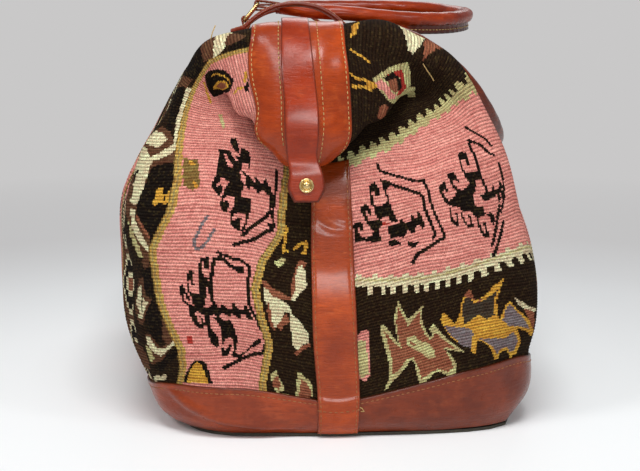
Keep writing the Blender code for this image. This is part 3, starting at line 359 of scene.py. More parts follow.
def makeKilimWool():
    material, tree, shader, place = shaderOf("kilimWool")
    weave = put(tree, "ShaderNodeAttribute", attribute_name="weave").outputs["Color"]
    uv = out(tree, "ShaderNodeUVMap", uv_map="UVMap")
    abrash = noise(tree, uv, 1.0, 4, 0.6, (9, 240, 1))           # dye that changes from row to row
    slub = noise(tree, uv, 1.0, 5, 0.7, (330, 900, 1))           # thick and thin yarn
    fuzz = noise(tree, place, 2600, 2, 0.6)
    dirt = noise(tree, place, 22, 4, 0.6)
    u, v, _ = put(tree, "ShaderNodeSeparateXYZ", {0: uv}).outputs
    ribPitch, warpPitch = 0.001 * kilimCloth["ribPitch"], 0.001 * kilimCloth["warpPitch"]
    rib = sums(tree, "COSINE", times(tree, v, 2 * math.pi / ribPitch))
    step = times(tree, sums(tree, "FLOOR", sums(tree, "DIVIDE", v, ribPitch)), math.pi)
    warp = sums(tree, "COSINE", plus(tree, times(tree, u, 2 * math.pi / warpPitch), step))
    colour = weave
    for share, dark, pale in (
            (abrash, (0.72, 0.70, 0.68, 1), (1.22, 1.24, 1.26, 1)),
            (ramp(tree, slub, 0.3, 0.7), (0.66, 0.6, 0.58, 1), (1.28, 1.34, 1.36, 1)),
            (dirt, (0.80, 0.79, 0.77, 1), (1.14, 1.15, 1.16, 1))):
        colour = mixed(tree, 1.0, colour, mixed(tree, share, dark, pale), "MULTIPLY")
    valley = times(tree, ramp(tree, rib, -1, 0.3, 0.5, 1.04), ramp(tree, warp, -1, 0.6, 0.82, 1.04))
    shade = out(tree, "ShaderNodeCombineColor", {0: valley, 1: valley, 2: valley})
    colour = mixed(tree, 1.0, colour, shade, "MULTIPLY")
    feed(tree, shader, {"Base Color": colour, "Roughness": 0.92, "Specular IOR Level": 0.02,
                        "Sheen Weight": 0.01, "Sheen Roughness": 0.6})
    height = plus(tree, times(tree, slub, 0.9), times(tree, fuzz, 0.35))
    height = plus(tree, height, times(tree, warp, 0.16))
    under = bumped(tree, shader, rib, 0.55, 0.0005)
    bumped(tree, shader, height, 0.75, 0.0007, under)
    return material


def makeLeather(name, base, deep, light, gloss, folds, edge):
    material, tree, shader, place = shaderOf(name)
    rim = put(tree, "ShaderNodeAttribute", attribute_name="rim").outputs["Fac"]
    cloudy = noise(tree, place, 16, 5, 0.62)
    patchy = noise(tree, place, 75, 4, 0.6)
    grain = out(tree, "ShaderNodeTexVoronoi", {"Vector": place, "Scale": 850.0, "Randomness": 1.0})
    fine = noise(tree, place, 1500, 3, 0.6)
    crease = noise(tree, place, 1.0, 5, 0.66, (60, 60, 190))
    wrinkle = noise(tree, place, 1.0, 3, 0.55, (90, 90, 620))
    scratch = noise(tree, place, 1.0, 3, 0.5, (35, 700, 260))
    rubbed = ramp(tree, patchy, 0.55, 0.82, 0.0, 0.45)
    # darker in the valleys of the crease and wrinkle bumps: painted shade
    creased = ramp(tree, crease, 0.40, 0.52, 0.45, 0.0)
    wrinkled = times(tree, ramp(tree, wrinkle, 0.36, 0.46, 0.5, 0.0), ramp(tree, patchy, 0.42, 0.58))
    scratched = ramp(tree, scratch, 0.69, 0.76, 0.0, 0.35)
    # rim darkens burnished edges and also carries painted shade, on the handles' flanges and on the end straps
    # under the tabs
    burntEdgeAndShade = ramp(tree, rim, 0.0, 0.24, edge, 0.0)
    colour = mixed(tree, ramp(tree, cloudy, 0.33, 0.68), rgba(deep), rgba(base))
    for share, over in ((rubbed, rgba(light)), (creased, rgba(deep)), (wrinkled, rgba(deep)),
                        (scratched, rgba(light)), (burntEdgeAndShade, rgba(deep, 0.46))):
        colour = mixed(tree, share, colour, over)
    rough = plus(tree, ramp(tree, patchy, 0.3, 0.75, gloss - 0.06, gloss + 0.12),
                 ramp(tree, fine, 0.3, 0.7, -0.03, 0.05))
    feed(tree, shader, {"Base Color": colour, "Roughness": rough, "Specular IOR Level": 0.18,
                        "Coat Weight": 0.32, "Coat Roughness": 0.2})
    under = bumped(tree, shader, crease, folds, 0.0013)
    under = bumped(tree, shader, wrinkle, folds, 0.0008, under)
    bumped(tree, shader, plus(tree, grain, times(tree, fine, 0.5)), 0.28, 0.00025, under)
    return material


def makeBrass(name, colour, rough):
    material, tree, shader, place = shaderOf(name)
    spots = noise(tree, place, 260, 4, 0.6)
    rub = noise(tree, place, 1.0, 3, 0.6, (300, 300, 2400))
    tone = mixed(tree, ramp(tree, spots, 0.42, 0.72), rgba(colour), rgba(colour, 0.74))
    feed(tree, shader, {"Base Color": tone, "Metallic": 1.0,
                        "Roughness": ramp(tree, spots, 0.3, 0.8, rough - 0.06, rough + 0.2)})
    bumped(tree, shader, rub, 0.10, 0.0001)
    return material


def makeThread(name, colour):
    material, tree, shader, place = shaderOf(name)
    twist = noise(tree, place, 1900, 3, 0.6)
    worn = noise(tree, place, 60, 3, 0.6)
    tone = mixed(tree, ramp(tree, twist, 0.3, 0.7), rgba(colour, 0.62), rgba(colour))
    tone = mixed(tree, ramp(tree, worn, 0.5, 0.8, 0, 0.5), tone, rgba(colour, 0.7))
    feed(tree, shader, {"Base Color": tone, "Roughness": 0.8})
    bumped(tree, shader, twist, 0.6, 0.0003)
    return material


def makePlain(name, dark, light, scale, rough, stretch=(1, 1, 1), depth=0.0004):
    material, tree, shader, place = shaderOf(name)
    tone = noise(tree, place, 1.0, 5, 0.65, tuple(scale * s for s in stretch))
    cloud = noise(tree, place, 30, 4, 0.6)
    colour = mixed(tree, ramp(tree, tone, 0.3, 0.72), rgba(dark), rgba(light))
    colour = mixed(tree, ramp(tree, cloud, 0.4, 0.75, 0, 0.5), colour, rgba(dark))
    feed(tree, shader, {"Base Color": colour, "Roughness": rough})
    bumped(tree, shader, tone, 0.5, depth)
    return material


# each leather: colour, its deep and its rubbed tone, roughness, strength of the folds, darkness of the edge
# and of the shade painted through the rim attribute
leatherLooks = {
    "cognacLeather": ((180, 68, 12), (130, 42, 6), (206, 98, 34), 0.3, 0.5, 0.66),
    "tabLeather": ((164, 52, 10), (120, 33, 5), (194, 82, 30), 0.27, 0.4, 0.66),
    "strapLeather": ((182, 72, 14), (130, 45, 8), (204, 98, 38), 0.3, 0.75, 0.66),
    "trimLeather": ((156, 62, 22), (110, 38, 12), (182, 86, 42), 0.3, 0.5, 0.66),
    # a darker copy of trimLeather: painted shade for the right half's trim
    "trimShadeLeather": ((132, 52, 19), (90, 31, 10), (158, 74, 36), 0.3, 0.5, 0.66),
    "handleLeather": ((166, 56, 8), (116, 32, 4), (198, 84, 28), 0.27, 0.5, 1.0),
    # a darker copy of handleLeather: painted shade for the right handle
    "handleShadeLeather": ((116, 44, 14), (76, 24, 7), (154, 72, 36), 0.3, 0.5, 1.0),
    "darkCognacLeather": ((150, 58, 28), (110, 36, 16), (182, 90, 52), 0.28, 0.5, 0.3),
}
leathers = {name: makeLeather(name, *look) for name, look in leatherLooks.items()}
kilimWool = makeKilimWool()
soleLeather = makePlain("soleLeather", (30, 27, 20), (66, 60, 44), 240, 0.66)
boardStock = makePlain("baseBoard", (84, 66, 46), (132, 106, 78), 500, 0.85)
tapeCloth = makePlain("zipTape", (44, 30, 22), (84, 60, 44), 1400, 0.9, (1, 0.4, 1), 0.0003)
brass = makeBrass("brass", (214, 186, 128), 0.24)
zipBrass = makeBrass("zipBrass", (188, 158, 98), 0.3)
threads = {"paleThread": makeThread("paleThread", (214, 178, 112)),
           "brownThread": makeThread("brownThread", (172, 108, 58))}
print("materials made")


def newObject(name, verts, faces, material):
    mesh = bpy.data.meshes.new(name)
    mesh.from_pydata(np.asarray(verts).tolist(), [], faces)
    mesh.materials.append(material)
    mesh.shade_smooth()
    mesh.update()
    ob = bpy.data.objects.new(name, mesh)
    scene.collection.objects.link(ob)
    return ob


def faceOut(ob):
    bm = bmesh.new()
    bm.from_mesh(ob.data)
    bmesh.ops.recalc_face_normals(bm, faces=bm.faces)
    bm.to_mesh(ob.data)
    bm.free()


def dress(ob, body, node=None):
    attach(ob, body)
    if node:
        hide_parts(node)


def standIn(ob, body):
    # the piece takes the place of the CAD node of its own name, as endTabNear does of end_tab_near
    dress(ob, body, "".join("_" + c.lower() if c.isupper() else c for c in ob.name))


sideName = {1: "Right", -1: "Left"}
endName = {False: "Near", True: "Far"}


def runLength(points):
    steps = np.linalg.norm(np.diff(points, axis=0), axis=1)
    return np.concatenate([[0.0], np.cumsum(steps)])


def ringFaces(na, nb):
    # quads between na closed rings of nb points
    a = np.arange(na - 1)[:, None]
    b = np.arange(nb)[None, :]
    c = (b + 1) % nb
    return np.stack([a * nb + b, (a + 1) * nb + b, (a + 1) * nb + c, a * nb + c], -1).reshape(-1, 4)


def capFaces(ring, nb, outer):
    # faces that close one ring: between its outer points and the rest, which run back under them
    first, last = ring * nb, ring * nb + nb - 1
    n, m = outer - 1, nb - outer - 1
    faces = []
    for k in range(n):
        a, b = round(k * m / n), round((k + 1) * m / n)
        faces.append((first + k, first + k + 1, *(last - j for j in range(b, a - 1, -1))))
    return faces


def setUv(ob, uv):
    layer = ob.data.uv_layers.new(name="UVMap")
    loops = np.empty(len(ob.data.loops), int)
    ob.data.loops.foreach_get("vertex_index", loops)
    layer.data.foreach_set("uv", np.asarray(uv, np.float32)[loops].ravel())


def setFloats(ob, name, values):
    layer = ob.data.attributes.new(name, "FLOAT", "POINT")
    layer.data.foreach_set("value", np.asarray(values, np.float32))


# ornament of the kilim, each shape as (line width or 0 for a filled patch, dye, "u,v" points in mm)
ornament = {
    "hookMotifA": (
        (2.4, "black", "39,196 40,190 44,187 48,185 53,182 58,179 63,176 67,174 73,173"),
        (2.2, "black", "72,173 74,169 76,161 76,154 77,148 79,141 81,135 83,129 85,123 81,121"),
        (3.2, "black", "83,122 77,120 73,118 68,116 64,115 61,112 59,108"),
        (2.5, "black", "40,181 44,179 49,175 54,172 59,169 63,166 68,163 70,160 71,154 71,149 72,144 74,138 "
         "76,131 77,127 75,124"),
        (0, "black", "40,181 45,180 45,174 43,173 44,166 45,160 46,155 48,149 50,144 44,145 43,150 40,151 "
         "37,149 34,151 33,159 31,165 35,160 40,161 43,163 42,171 40,175"),
        (0, "black", "31,179 35,181 37,178 38,173 38,168 35,169 34,173 32,174 33,168 33,163 36,160 32,161 "
         "30,166 30,173"),
        (0, "black", "30,149 37,149 38,145 36,141 32,139 29,145"),
        (0, "red", "38,146 44,145 42,143 38,143"),
        (0, "black", "42,142 46,142 50,143 50,146 53,146 54,142 57,142 59,143 60,148 62,146 62,143 64,144 "
         "64,149 67,147 68,143 69,139 70,135 67,134 66,137 63,137 62,135 62,133 58,132 57,136 56,136 55,133 "
         "52,130 49,132 43,132 42,138"),
        (0, "black", "23,162 27,164 29,162 31,157 31,153 29,154 28,158 26,159 27,155 29,149 31,147 29,145 "
         "27,148 25,154 23,159"),
        (0, "black", "17,149 20,151 23,151 24,147 25,142 23,143 21,146 21,142 22,139 26,136 30,137 32,140 "
         "36,141 36,136 38,132 34,131 29,132 24,134 19,134 18,137 18,143"),
        (0, "black", "41,130 46,130 51,127 51,125 43,125 42,128"),
        (0, "black", "55,127 60,125 64,124 62,121 59,120 56,123"),
    ),
    "hookMotifB": (
        (2.2, "black", "122,207 126,202 131,197 134,193 137,188 138,185"),
        (2.2, "black", "118,196 121,194 125,192 129,188 131,184 134,180 137,178"),
        (2.4, "black", "119,196 118,190 119,184 119,178 119,173 120,168 120,162 121,157 122,152"),
        (0, "black", "105,186 108,188 113,187 113,183 113,176 111,176 110,181 107,182 107,176 108,171 111,170 "
         "119,170 119,165 120,161 116,163 114,161 113,154 111,154 111,159 109,162 107,167 106,174 105,180"),
        (0, "black", "93,173 99,174 100,170 102,165 101,164 98,167 96,167 97,163 100,159 103,157 107,159 "
         "111,161 114,159 113,154 111,152 110,148 110,144 112,140 106,138 101,139 99,143 93,146 88,149 "
         "86,155 84,162 84,164 89,167 91,167 91,162 92,158 90,158 89,161 87,160 88,156 91,151 97,154 98,157 "
         "96,161 94,167"),
        (0, "black", "116,149 122,151 126,150 128,155 130,154 129,151 133,151 135,157 137,155 137,151 135,147 "
         "132,147 127,145 120,144 117,145"),
        (0, "black", "131,147 133,147 134,143 131,140"),
        (0, "black", "106,139 111,140 116,141 117,136 118,133 114,132 111,130 110,133 108,136"),
        (0, "black", "90,148 92,144 92,140 93,135 95,132 96,136 94,139 96,141 97,137 97,129 94,129 91,133 "
         "90,140"),
        (0, "black", "99,142 101,136 102,132 103,129 106,127 106,132 104,135 106,136 107,131 108,125 104,125 "
         "101,130 99,136"),
        (0, "black", "111,134 112,128 113,123 114,119 116,118 116,122 114,126 116,128 117,123 118,115 115,114 "
         "112,119 111,125 110,131"),
        (0, "black", "118,133 121,134 124,132 124,126 123,121 121,126 120,130"),
        (2.5, "black", "131,138 128,131 125,123 122,115 119,107"),
        (2.5, "black", "131,124 128,117 125,111 122,104 119,98"),
        (1.9, "black", "136,148 135,140 131,132"),
        (2.0, "black", "139,171 139,165 139,157 138,149 136,141"),
    ),
    "hookMotifC": (
        (0, "black", "94,202 85,202 81,196 77,193 76,199 76,206 71,205 68,203 67,196 67,187 68,183 64,179 "
         "61,177 63,181 61,182 59,179 57,177 55,180 54,182 52,179 51,176 50,171 52,168 54,171 57,173 58,169 "
         "60,169 61,172 64,173 66,173 65,164 64,156 65,152 67,144 68,139 70,135 73,136 77,138 79,141 80,146 "
         "79,149 81,151 83,150 87,152 88,157 87,162 88,162 92,165 95,169 95,174 93,181 93,188 93,195"),
        (0, "black", "86,213 81,215 78,208 76,200 77,195 80,198 84,203 85,209"),
        (0, "pink", "84,207 81,203 78,201 76,198 79,197 82,200 84,203"),
        (0, "pink", "89,198 87,198 84,193 81,190 81,187 84,187 87,193"),
        (0, "pink", "89,178 82,175 84,172 85,169 86,165 88,163 87,168 87,171 89,173 91,170 92,172 90,174"),
        (0, "pink", "82,164 77,163 77,158 78,153 82,149 81,155 81,158 83,160 85,158 85,161"),
        (0, "pink", "74,151 68,151 68,145 71,138 72,138 72,143 71,147 74,147 76,144 78,144 78,146 77,149"),
        (0, "pink", "73,192 68,192 67,185 69,183 71,185 73,186"),
        (0, "pink", "75,186 73,185 70,182 69,177 70,175 72,176 73,180"),
        (0, "pink", "71,174 68,173 66,170 66,164 68,163 72,165 71,170"),
        (2.0, "black", "50,175 49,165 50,156"),
        (2.9, "black", "50,155 53,151 57,147 61,143 65,139 68,135 70,133"),
        (2.2, "black", "46,191 46,174 47,163 48,154 47,144"),
        (3.1, "black", "50,145 48,141 54,138 59,133 64,129 70,127 74,125 76,124"),
    ),
    "hookMotifD": (
        (3.1, "black", "92,111 89,112 86,112 82,109 79,106 75,104 72,102"),
        (0, "black", "74,107 69,107 69,102 72,100 74,102"),
        (2.9, "black", "92,111 93,104 94,97 95,91 95,84 94,77 92,71"),
        (2.4, "black", "89,117 86,115 81,114 77,112 72,112 69,110 66,108 66,100 67,92 67,84 67,77 65,71 62,65 "
         "60,58 57,52 56,45 57,38 58,33"),
        (0, "black", "102,112 95,113 95,108 96,103 99,103 99,109 100,109 100,100 99,96 96,96 97,91 98,84 "
         "99,77 99,73 103,69 108,73 108,81 103,83 103,94 103,104"),
        (0, "black", "110,100 108,102 106,100 107,94 106,89 108,90 109,95 110,92 109,86 108,82 105,83 107,78 "
         "109,80 111,87 111,94"),
        (0, "black", "116,89 113,90 112,86 110,80 109,75 111,77 113,83 114,81 112,76 109,73 103,71 96,70 "
         "93,65 99,62 95,58 100,63 105,67 108,64 110,67 111,72 114,76 115,81"),
        (0, "black", "97,72 92,73 89,70 87,74 85,73 83,70 79,70 79,75 77,75 75,71 71,70 71,75 69,75 67,71 "
         "65,66 64,63 68,63 70,66 73,66 74,62 77,65 80,66 81,63 84,65 87,66 91,62 94,65"),
        (0, "black", "110,67 107,67 106,62 105,58 104,56 103,59 104,63 102,62 101,56 102,52 106,53 108,56 "
         "110,62"),
        (0, "black", "100,64 97,62 97,56 96,51 94,49 92,44 92,38 94,35 98,40 99,46 99,53 101,58"),
        (0, "black", "94,62 90,63 86,59 82,61 80,57 78,51 77,44 78,36 80,30 82,30 80,37 80,43 83,45 87,43 "
         "89,37 88,32 85,36 84,39 82,38 84,32 86,28 91,27 90,36 89,45 89,52 91,57"),
        (0, "black", "83,29 80,31 76,30 72,33 69,37 65,43 62,46 59,48 59,44 63,40 67,37 71,32 76,27 81,27"),
        (3.2, "black", "57,38 59,34 65,32 70,29 74,27 78,24 83,21 87,19 90,17"),
    ),
    "starRust": (
        (0, "pistachio", "47,79 53,64 55,60 58,62 67,70 65,63 67,52 72,39 75,40 72,46 75,50 79,44 86,34 94,24 "
         "102,16 96,18 86,23 91,16 96,6 95,0 91,-1 82,5 77,5 73,1 66,0 63,9 61,19 58,23 54,17 49,12 43,8 "
         "40,3 37,2 41,12 40,27 38,38 34,56 35,61 38,59 43,49 48,40 46,51 44,64 46,72"),
        (0, "rust", "47,73 53,60 55,53 59,59 64,64 64,55 69,42 73,35 77,42 87,29 94,21 84,26 90,14 93,5 89,3 "
         "80,8 74,6 67,3 65,12 60,24 54,24 49,17 43,14 43,28 39,46 37,55 44,43 51,34 48,44 46,60"),
        (0, "pistachio", "55,44 60,44 65,37 71,34 76,27 78,19 73,19 66,26 60,32 54,37"),
        (0, "rust", "57,40 62,35 60,34 57,38"),
    ),
    "starMauve": (
        (0, "mustard", "81,53 83,59 86,55 93,45 96,52 98,67 103,74 107,63 113,65 119,73 126,78 123,68 121,60 "
         "122,45 124,42 127,53 130,57 135,48 144,36 159,22 157,15 144,24 137,28 141,19 145,10 144,2 139,0 "
         "133,9 129,9 128,3 125,3 121,12 115,21 109,25 110,12 105,15 106,26 97,25 89,35 84,44"),
        (0, "grey", "98,55 99,65 103,70 106,60 114,62 122,70 119,60 120,47 115,43 109,50 105,46 100,43"),
        (0, "mauve", "84,46 94,42 104,38 107,31 105,28 106,18 100,22 91,33"),
        (0, "mauve", "127,49 130,54 135,46 144,32 150,23 140,29 131,32 126,40"),
        (0, "mauve", "110,26 118,24 130,23 135,25 141,14 141,6 137,5 133,11 128,11 126,6 121,16 114,23"),
        (0, "mustard", "107,29 107,43 110,50 113,42 117,46 122,41 128,33 134,27 130,21 124,22 118,28 111,28"),
        (0, "rust", "98,69 103,74 107,62 113,64 110,60 103,66"),
    ),
    "hexagon": (
        (0, "pink", "17,56 20,60 25,59 25,41 26,20 22,15 16,20 13,28 13,52"),
        (0, "pistachio", "15,50 19,52 23,50 24,35 25,21 19,19 15,27"),
    ),
    "leafEnd": (
        (0, "cream", "133,59 138,54 145,47 156,43 153,39 143,43 136,52"),
        (0, "rust", "140,47 153,40 156,28 154,23 146,35"),
    ),
    "roofDiamond": (
        (0, "pistachio", "105,324 112,318 121,306 129,295 133,290 123,286 109,287 100,279 92,261 86,262 "
         "89,295 92,307 96,314 100,319 101,323"),
        (0, "pink", "104,322 109,316 107,312 102,309 99,303 95,304 96,311 100,316 101,320"),
        (0, "red", "113,312 120,300 122,294 112,293 103,293 98,298 98,303 105,300 114,298 117,303"),
        (0, "black", "111,314 118,304 115,299 109,297 102,299 104,303 110,303 109,311"),
        (0, "rust", "110,311 113,302 105,302 100,304 105,310"),
    ),
    "roofMarks": (
        (0, "mustard", "153,337 163,330 143,333 137,338"),
        (2.5, "mustard", "124,338 122,332 121,327 119,323"),
        (2.0, "mustard", "102,341 100,336 102,329 102,325"),
        (2.2, "mustard", "94,340 96,333 97,326"),
        (0, "mustard", "103,328 104,322 101,320 96,327 98,329"),
        (0, "rust", "88,318 91,313 89,309 85,309 74,307 79,318 84,318"),
        (0, "cream", "170,303 169,304 167,294 167,285 166,277 150,283 142,288 144,293 150,295"),
        (0, "rust", "152,281 166,277 165,271 158,265 148,274 142,278"),
    ),
    "leftMarks": (
        (0, "black", "123,280 130,287 130,296 125,305 119,314 112,318 107,320 103,317 100,311 102,275 106,267 "
         "109,263 114,269"),
        (1.5, "mustard", "123,295 121,303 115,311 109,316 106,315"),
        (0, "mustard", "113,277 115,286 114,302 111,310 107,313 104,312 104,293"),
        (0, "rust", "112,286 112,302 109,310 105,309 105,294"),
        (2.5, "mustard", "126,280 119,272 114,262 110,254"),
        (2.0, "mustard", "96,316 98,322 96,327"),
        (0, "mustard", "102,329 108,332 109,335 104,334 98,330"),
        (0, "black", "96,327 98,331 103,335 91,331 92,328"),
        (2.2, "mauve", "97,146 100,141 103,133 106,125 106,122 104,119 100,121 96,127 92,135"),
        (0, "black", "126,2 119,13 116,18 111,24 107,24 104,22 102,13 101,3"),
        (0, "mustard", "122,2 117,13 114,18 110,22 107,19 106,13 104,3"),
        (0, "red", "114,45 110,45 110,39 114,39"),
        (0, "olive", "119,192 108,191 106,181 104,170 109,166 115,169 117,180"),
        (0, "mustard", "110,173 107,173 105,169 107,167"),
        (0, "mustard", "115,191 111,189 109,186 113,186"),
        (0, "pistachio", "101,239 98,240 92,224 94,222"),
    ),
    "cornerMarks": (
        (0, "umber", "172,188 162,207 148,221 136,216 125,199 122,189 137,186 138,173 145,152 150,146 142,137 "
         "135,125 133,109 147,113 154,136 175,155"),
        (0, "black", "180,289 196,307 195,312 156,304 142,297 137,284 141,272 154,270 170,279"),
        (0, "umber", "192,309 194,315 145,319 139,307 142,297"),
        (0, "cream", "196,319 193,325 156,327 143,322 138,315 138,308 151,313"),
        (0, "umber", "144,320 157,326 145,338 141,333 141,325"),
        (0, "black", "141,324 142,333 140,339 124,338 132,324"),
        (0, "cream", "167,270 169,273 164,266 163,262"),
        (0, "umber", "163,262 166,268 141,273 141,262 164,256"),
        (0, "black", "162,256 144,262 137,244 135,228 135,216 143,219 145,230 155,245"),
        (0, "cream", "141,262 135,265 132,245 130,226 127,209 129,203 131,212 135,228 137,246"),
        (0, "cream", "153,216 142,214 136,209 141,201 149,202 164,205"),
        (0, "cream", "139,196 132,202 127,209 125,201 131,194 141,189 145,192"),
        (0, "cream", "167,199 152,199 148,195 142,189 143,182 144,171 146,160 150,152 158,155 157,164 160,176 "
         "192,177 170,184"),
        (0, "pistachio", "197,180 164,198 172,188 192,177 190,165"),
        (2.9, "black", "165,196 168,187 192,177 177,168"),
        (2.5, "black", "154,179 160,176 157,171"),
        (0, "pink", "196,165 194,170 172,162 184,150"),
        (0, "black", "137,186 122,188 120,175 119,166 123,151 127,140 132,131 135,126 139,135 146,144 149,152 "
         "146,162 143,173 142,183"),
        (0, "mustard", "134,166 130,167 129,162 126,162 125,165 121,165 121,162 123,159 124,155 128,153 "
         "129,156 131,155 134,152 136,155 134,159"),
        (0, "black", "129,159 127,160 127,156"),
        (0, "cream", "156,150 149,149 149,141 143,132 137,121 135,114 140,120 147,128 153,136"),
        (2.0, "rust", "147,144 141,135 136,128"),
        (0, "pistachio", "159,142 151,132 145,121 142,112 147,112 154,126"),
        (0, "black", "143,112 133,109 132,86 135,77 144,83 146,97"),
        (0, "umber", "144,109 138,114 136,105 142,102"),
        (0, "black", "153,103 146,107 151,97"),
        (0, "umber", "153,93 145,95 143,80 137,77 144,62 152,53 159,58 164,70"),
        (0, "cream", "155,85 148,88 149,76 153,65 159,72"),
        (0, "cream", "148,80 145,76 141,74 145,68 149,60 155,60 154,67"),
        (1.4, "black", "148,85 148,75 149,66"),
        (0, "black", "137,77 132,74 129,63 132,44 137,36 142,45 147,50 147,60"),
        (0, "umber", "130,60 124,49 122,40 130,36 133,43"),
        (0, "umber", "151,46 144,46 137,34 127,40 121,46 121,40 131,31 138,23 152,17 152,29"),
        (0, "cream", "149,44 145,43 141,34 134,33 127,38 124,42 124,38 132,31 139,26 145,30 150,37"),
        (0, "pistachio", "152,36 147,31 146,24 153,20 154,29"),
        (0, "black", "140,21 129,31 122,35 124,27 133,20 144,10 151,15"),
        (0, "umber", "188,37 161,34 155,26 160,12 197,12 198,21"),
        (0, "cream", "161,5 150,8 149,5 142,9 140,6 146,2 167,0"),
    ),
    "strapMarks": (
        (2.4, "mustard", "40,123 39,129 38,136 37,145"),
        (2.0, "mustard", "39,126 36,125"),
        (2.2, "mustard", "31,128 26,133 21,136"),
        (0, "mustard", "23,136 19,136 21,125 26,125 23,129"),
        (0, "pistachio", "47,115 43,116 42,119 38,119 39,115 43,110 46,111"),
        (0, "rust", "57,98 54,97 49,92 45,91 38,88 35,88 34,98 31,109 28,118 24,120 21,118 24,112 30,106 "
         "30,94 35,85 43,84 50,86 55,90"),
        (0, "cream", "56,92 52,90 50,86 43,84 38,81 35,75 40,74 43,67 46,61 49,60 51,67 53,77 56,83"),
        (0, "cream", "28,114 25,115 22,111 21,99 27,92 32,85 35,85 31,94 30,106"),
        (0, "cream", "35,75 30,71 26,68 23,62 20,59 20,52 26,49 31,43 34,47 35,59 36,68"),
        (1.7, "cream", "39,82 36,78 35,73"),
        (0, "rust", "31,43 26,48 20,51 19,49 26,44 31,38 34,40"),
        (0, "rust", "47,61 44,66 39,74 36,68 41,62 44,58"),
        (0, "rust", "52,82 50,64 48,57 52,60 54,73"),
        (0, "pistachio", "53,16 49,21 47,16 43,7 44,2 49,0 52,5"),
        (0, "rust", "51,13 48,16 45,8 47,3 52,5"),
        (0, "pistachio", "31,25 27,21 23,18 20,12 21,1 34,0 33,14"),
        (0, "rust", "29,18 25,15 22,9 22,1 32,0"),
        (1.9, "pistachio", "47,-4 42,0 39,-2"),
    ),
}


def pointsOf(text):
    return np.array([[float(c) for c in pair.split(",")] for pair in text.split()])


def insidePatch(u, v, points):
    inside = np.zeros(len(u), bool)
    for (u0, v0), (u1, v1) in zip(points, np.roll(points, -1, axis=0)):
        if v0 == v1:
            continue
        crosses = (v0 > v) != (v1 > v)
        inside ^= crosses & (u < (u1 - u0) * (v - v0) / (v1 - v0) + u0)
    return inside


def nearLine(u, v, points, reach):
    near = np.zeros(len(u), bool)
    for (u0, v0), (u1, v1) in zip(points[:-1], points[1:]):
        du, dv = u1 - u0, v1 - v0
        t = np.clip(((u - u0) * du + (v - v0) * dv) / max(du * du + dv * dv, 1e-9), 0, 1)
        near |= (u - u0 - t * du) ** 2 + (v - v0 - t * dv) ** 2 < reach * reach
    return near


def paintShapes(colour, u, v, names):
    for name in names:
        for width, dye, text in ornament[name]:
            points = pointsOf(text)
            low, high = points.min(axis=0) - width - 1, points.max(axis=0) + width + 1
            box = np.flatnonzero((u > low[0]) & (u < high[0]) & (v > low[1]) & (v < high[1]))
            if len(box):
                hit = (nearLine(u[box], v[box], points, width / 2) if width
                       else insidePatch(u[box], v[box], points))
                colour[box[hit]] = dyes[dye]


def teeth(u, pitch, share, shift=0.0):
    return np.mod(u + shift, pitch) < pitch * share


def paintSteps(colour, where, cells, rings):
    # nested steps from the outside in, each as (cells that it takes, dye)
    for reach, dye in rings:
        colour[where & (cells < reach)] = dyes[dye]


def steppedHook(colour, u, v, middle, high, size):
    # lozenge with ram's horns on its four points, for the bands that the photograph doesn't show
    du, dv = np.abs(u - middle), np.abs(v - high)
    cells = np.floor(du / (0.12 * size)) + np.floor(dv / (0.12 * size))
    paintSteps(colour, True, cells, ((6, "black"), (4, "pink"), (3, "black"), (1, "red")))
    for along, across in ((du, dv), (dv, du)):
        arm = (along > 0.55 * size) & (along < size) & (across < 0.07 * size)
        bar = (along > 0.9 * size) & (along < size) & (across < 0.36 * size)
        curl = (along > 0.72 * size) & (along < size) & (across > 0.27 * size) & (across < 0.36 * size)
        colour[arm | bar | curl] = dyes["black"]


def eightStar(colour, u, v, middle, high, size, outline, fill, heart):
    du, dv = np.abs(u - middle), np.abs(v - high)
    reach = np.minimum(1.25 * np.maximum(du, dv), 0.8 * (du + dv))
    for share, dye in ((1.0, outline), (0.86, fill), (0.42, heart), (0.28, "brown")):
        colour[reach < share * size] = dyes[dye]


# the pink band of the right half: its upper and lower edges as (girth place, height)
upperEdge = ((0, 14, 30, 54, 74, 95, 122, 153, 210, 300, 385, 470, 560, 660, 770),
             (196, 200, 205, 212, 221, 229, 232, 230, 231, 226, 230, 232, 227, 231, 228))
lowerEdge = ((0, 14, 42, 72, 103, 122, 145, 200, 300, 385, 480, 560, 660, 770),
             (107, 102, 95, 90, 90, 94, 97, 95, 98, 94, 98, 94, 97, 95))
starDyes = (("pistachio", "rust", "cream"), ("mustard", "mauve", "mustard"))
# its rows of motifs that the photograph doesn't show: first place, pitch, height and size
rightRows = {"hooks": (216, 62, 162, 28), "stars": (196, 65, 44, 27), "smallStars": (210, 66, 284, 21)}


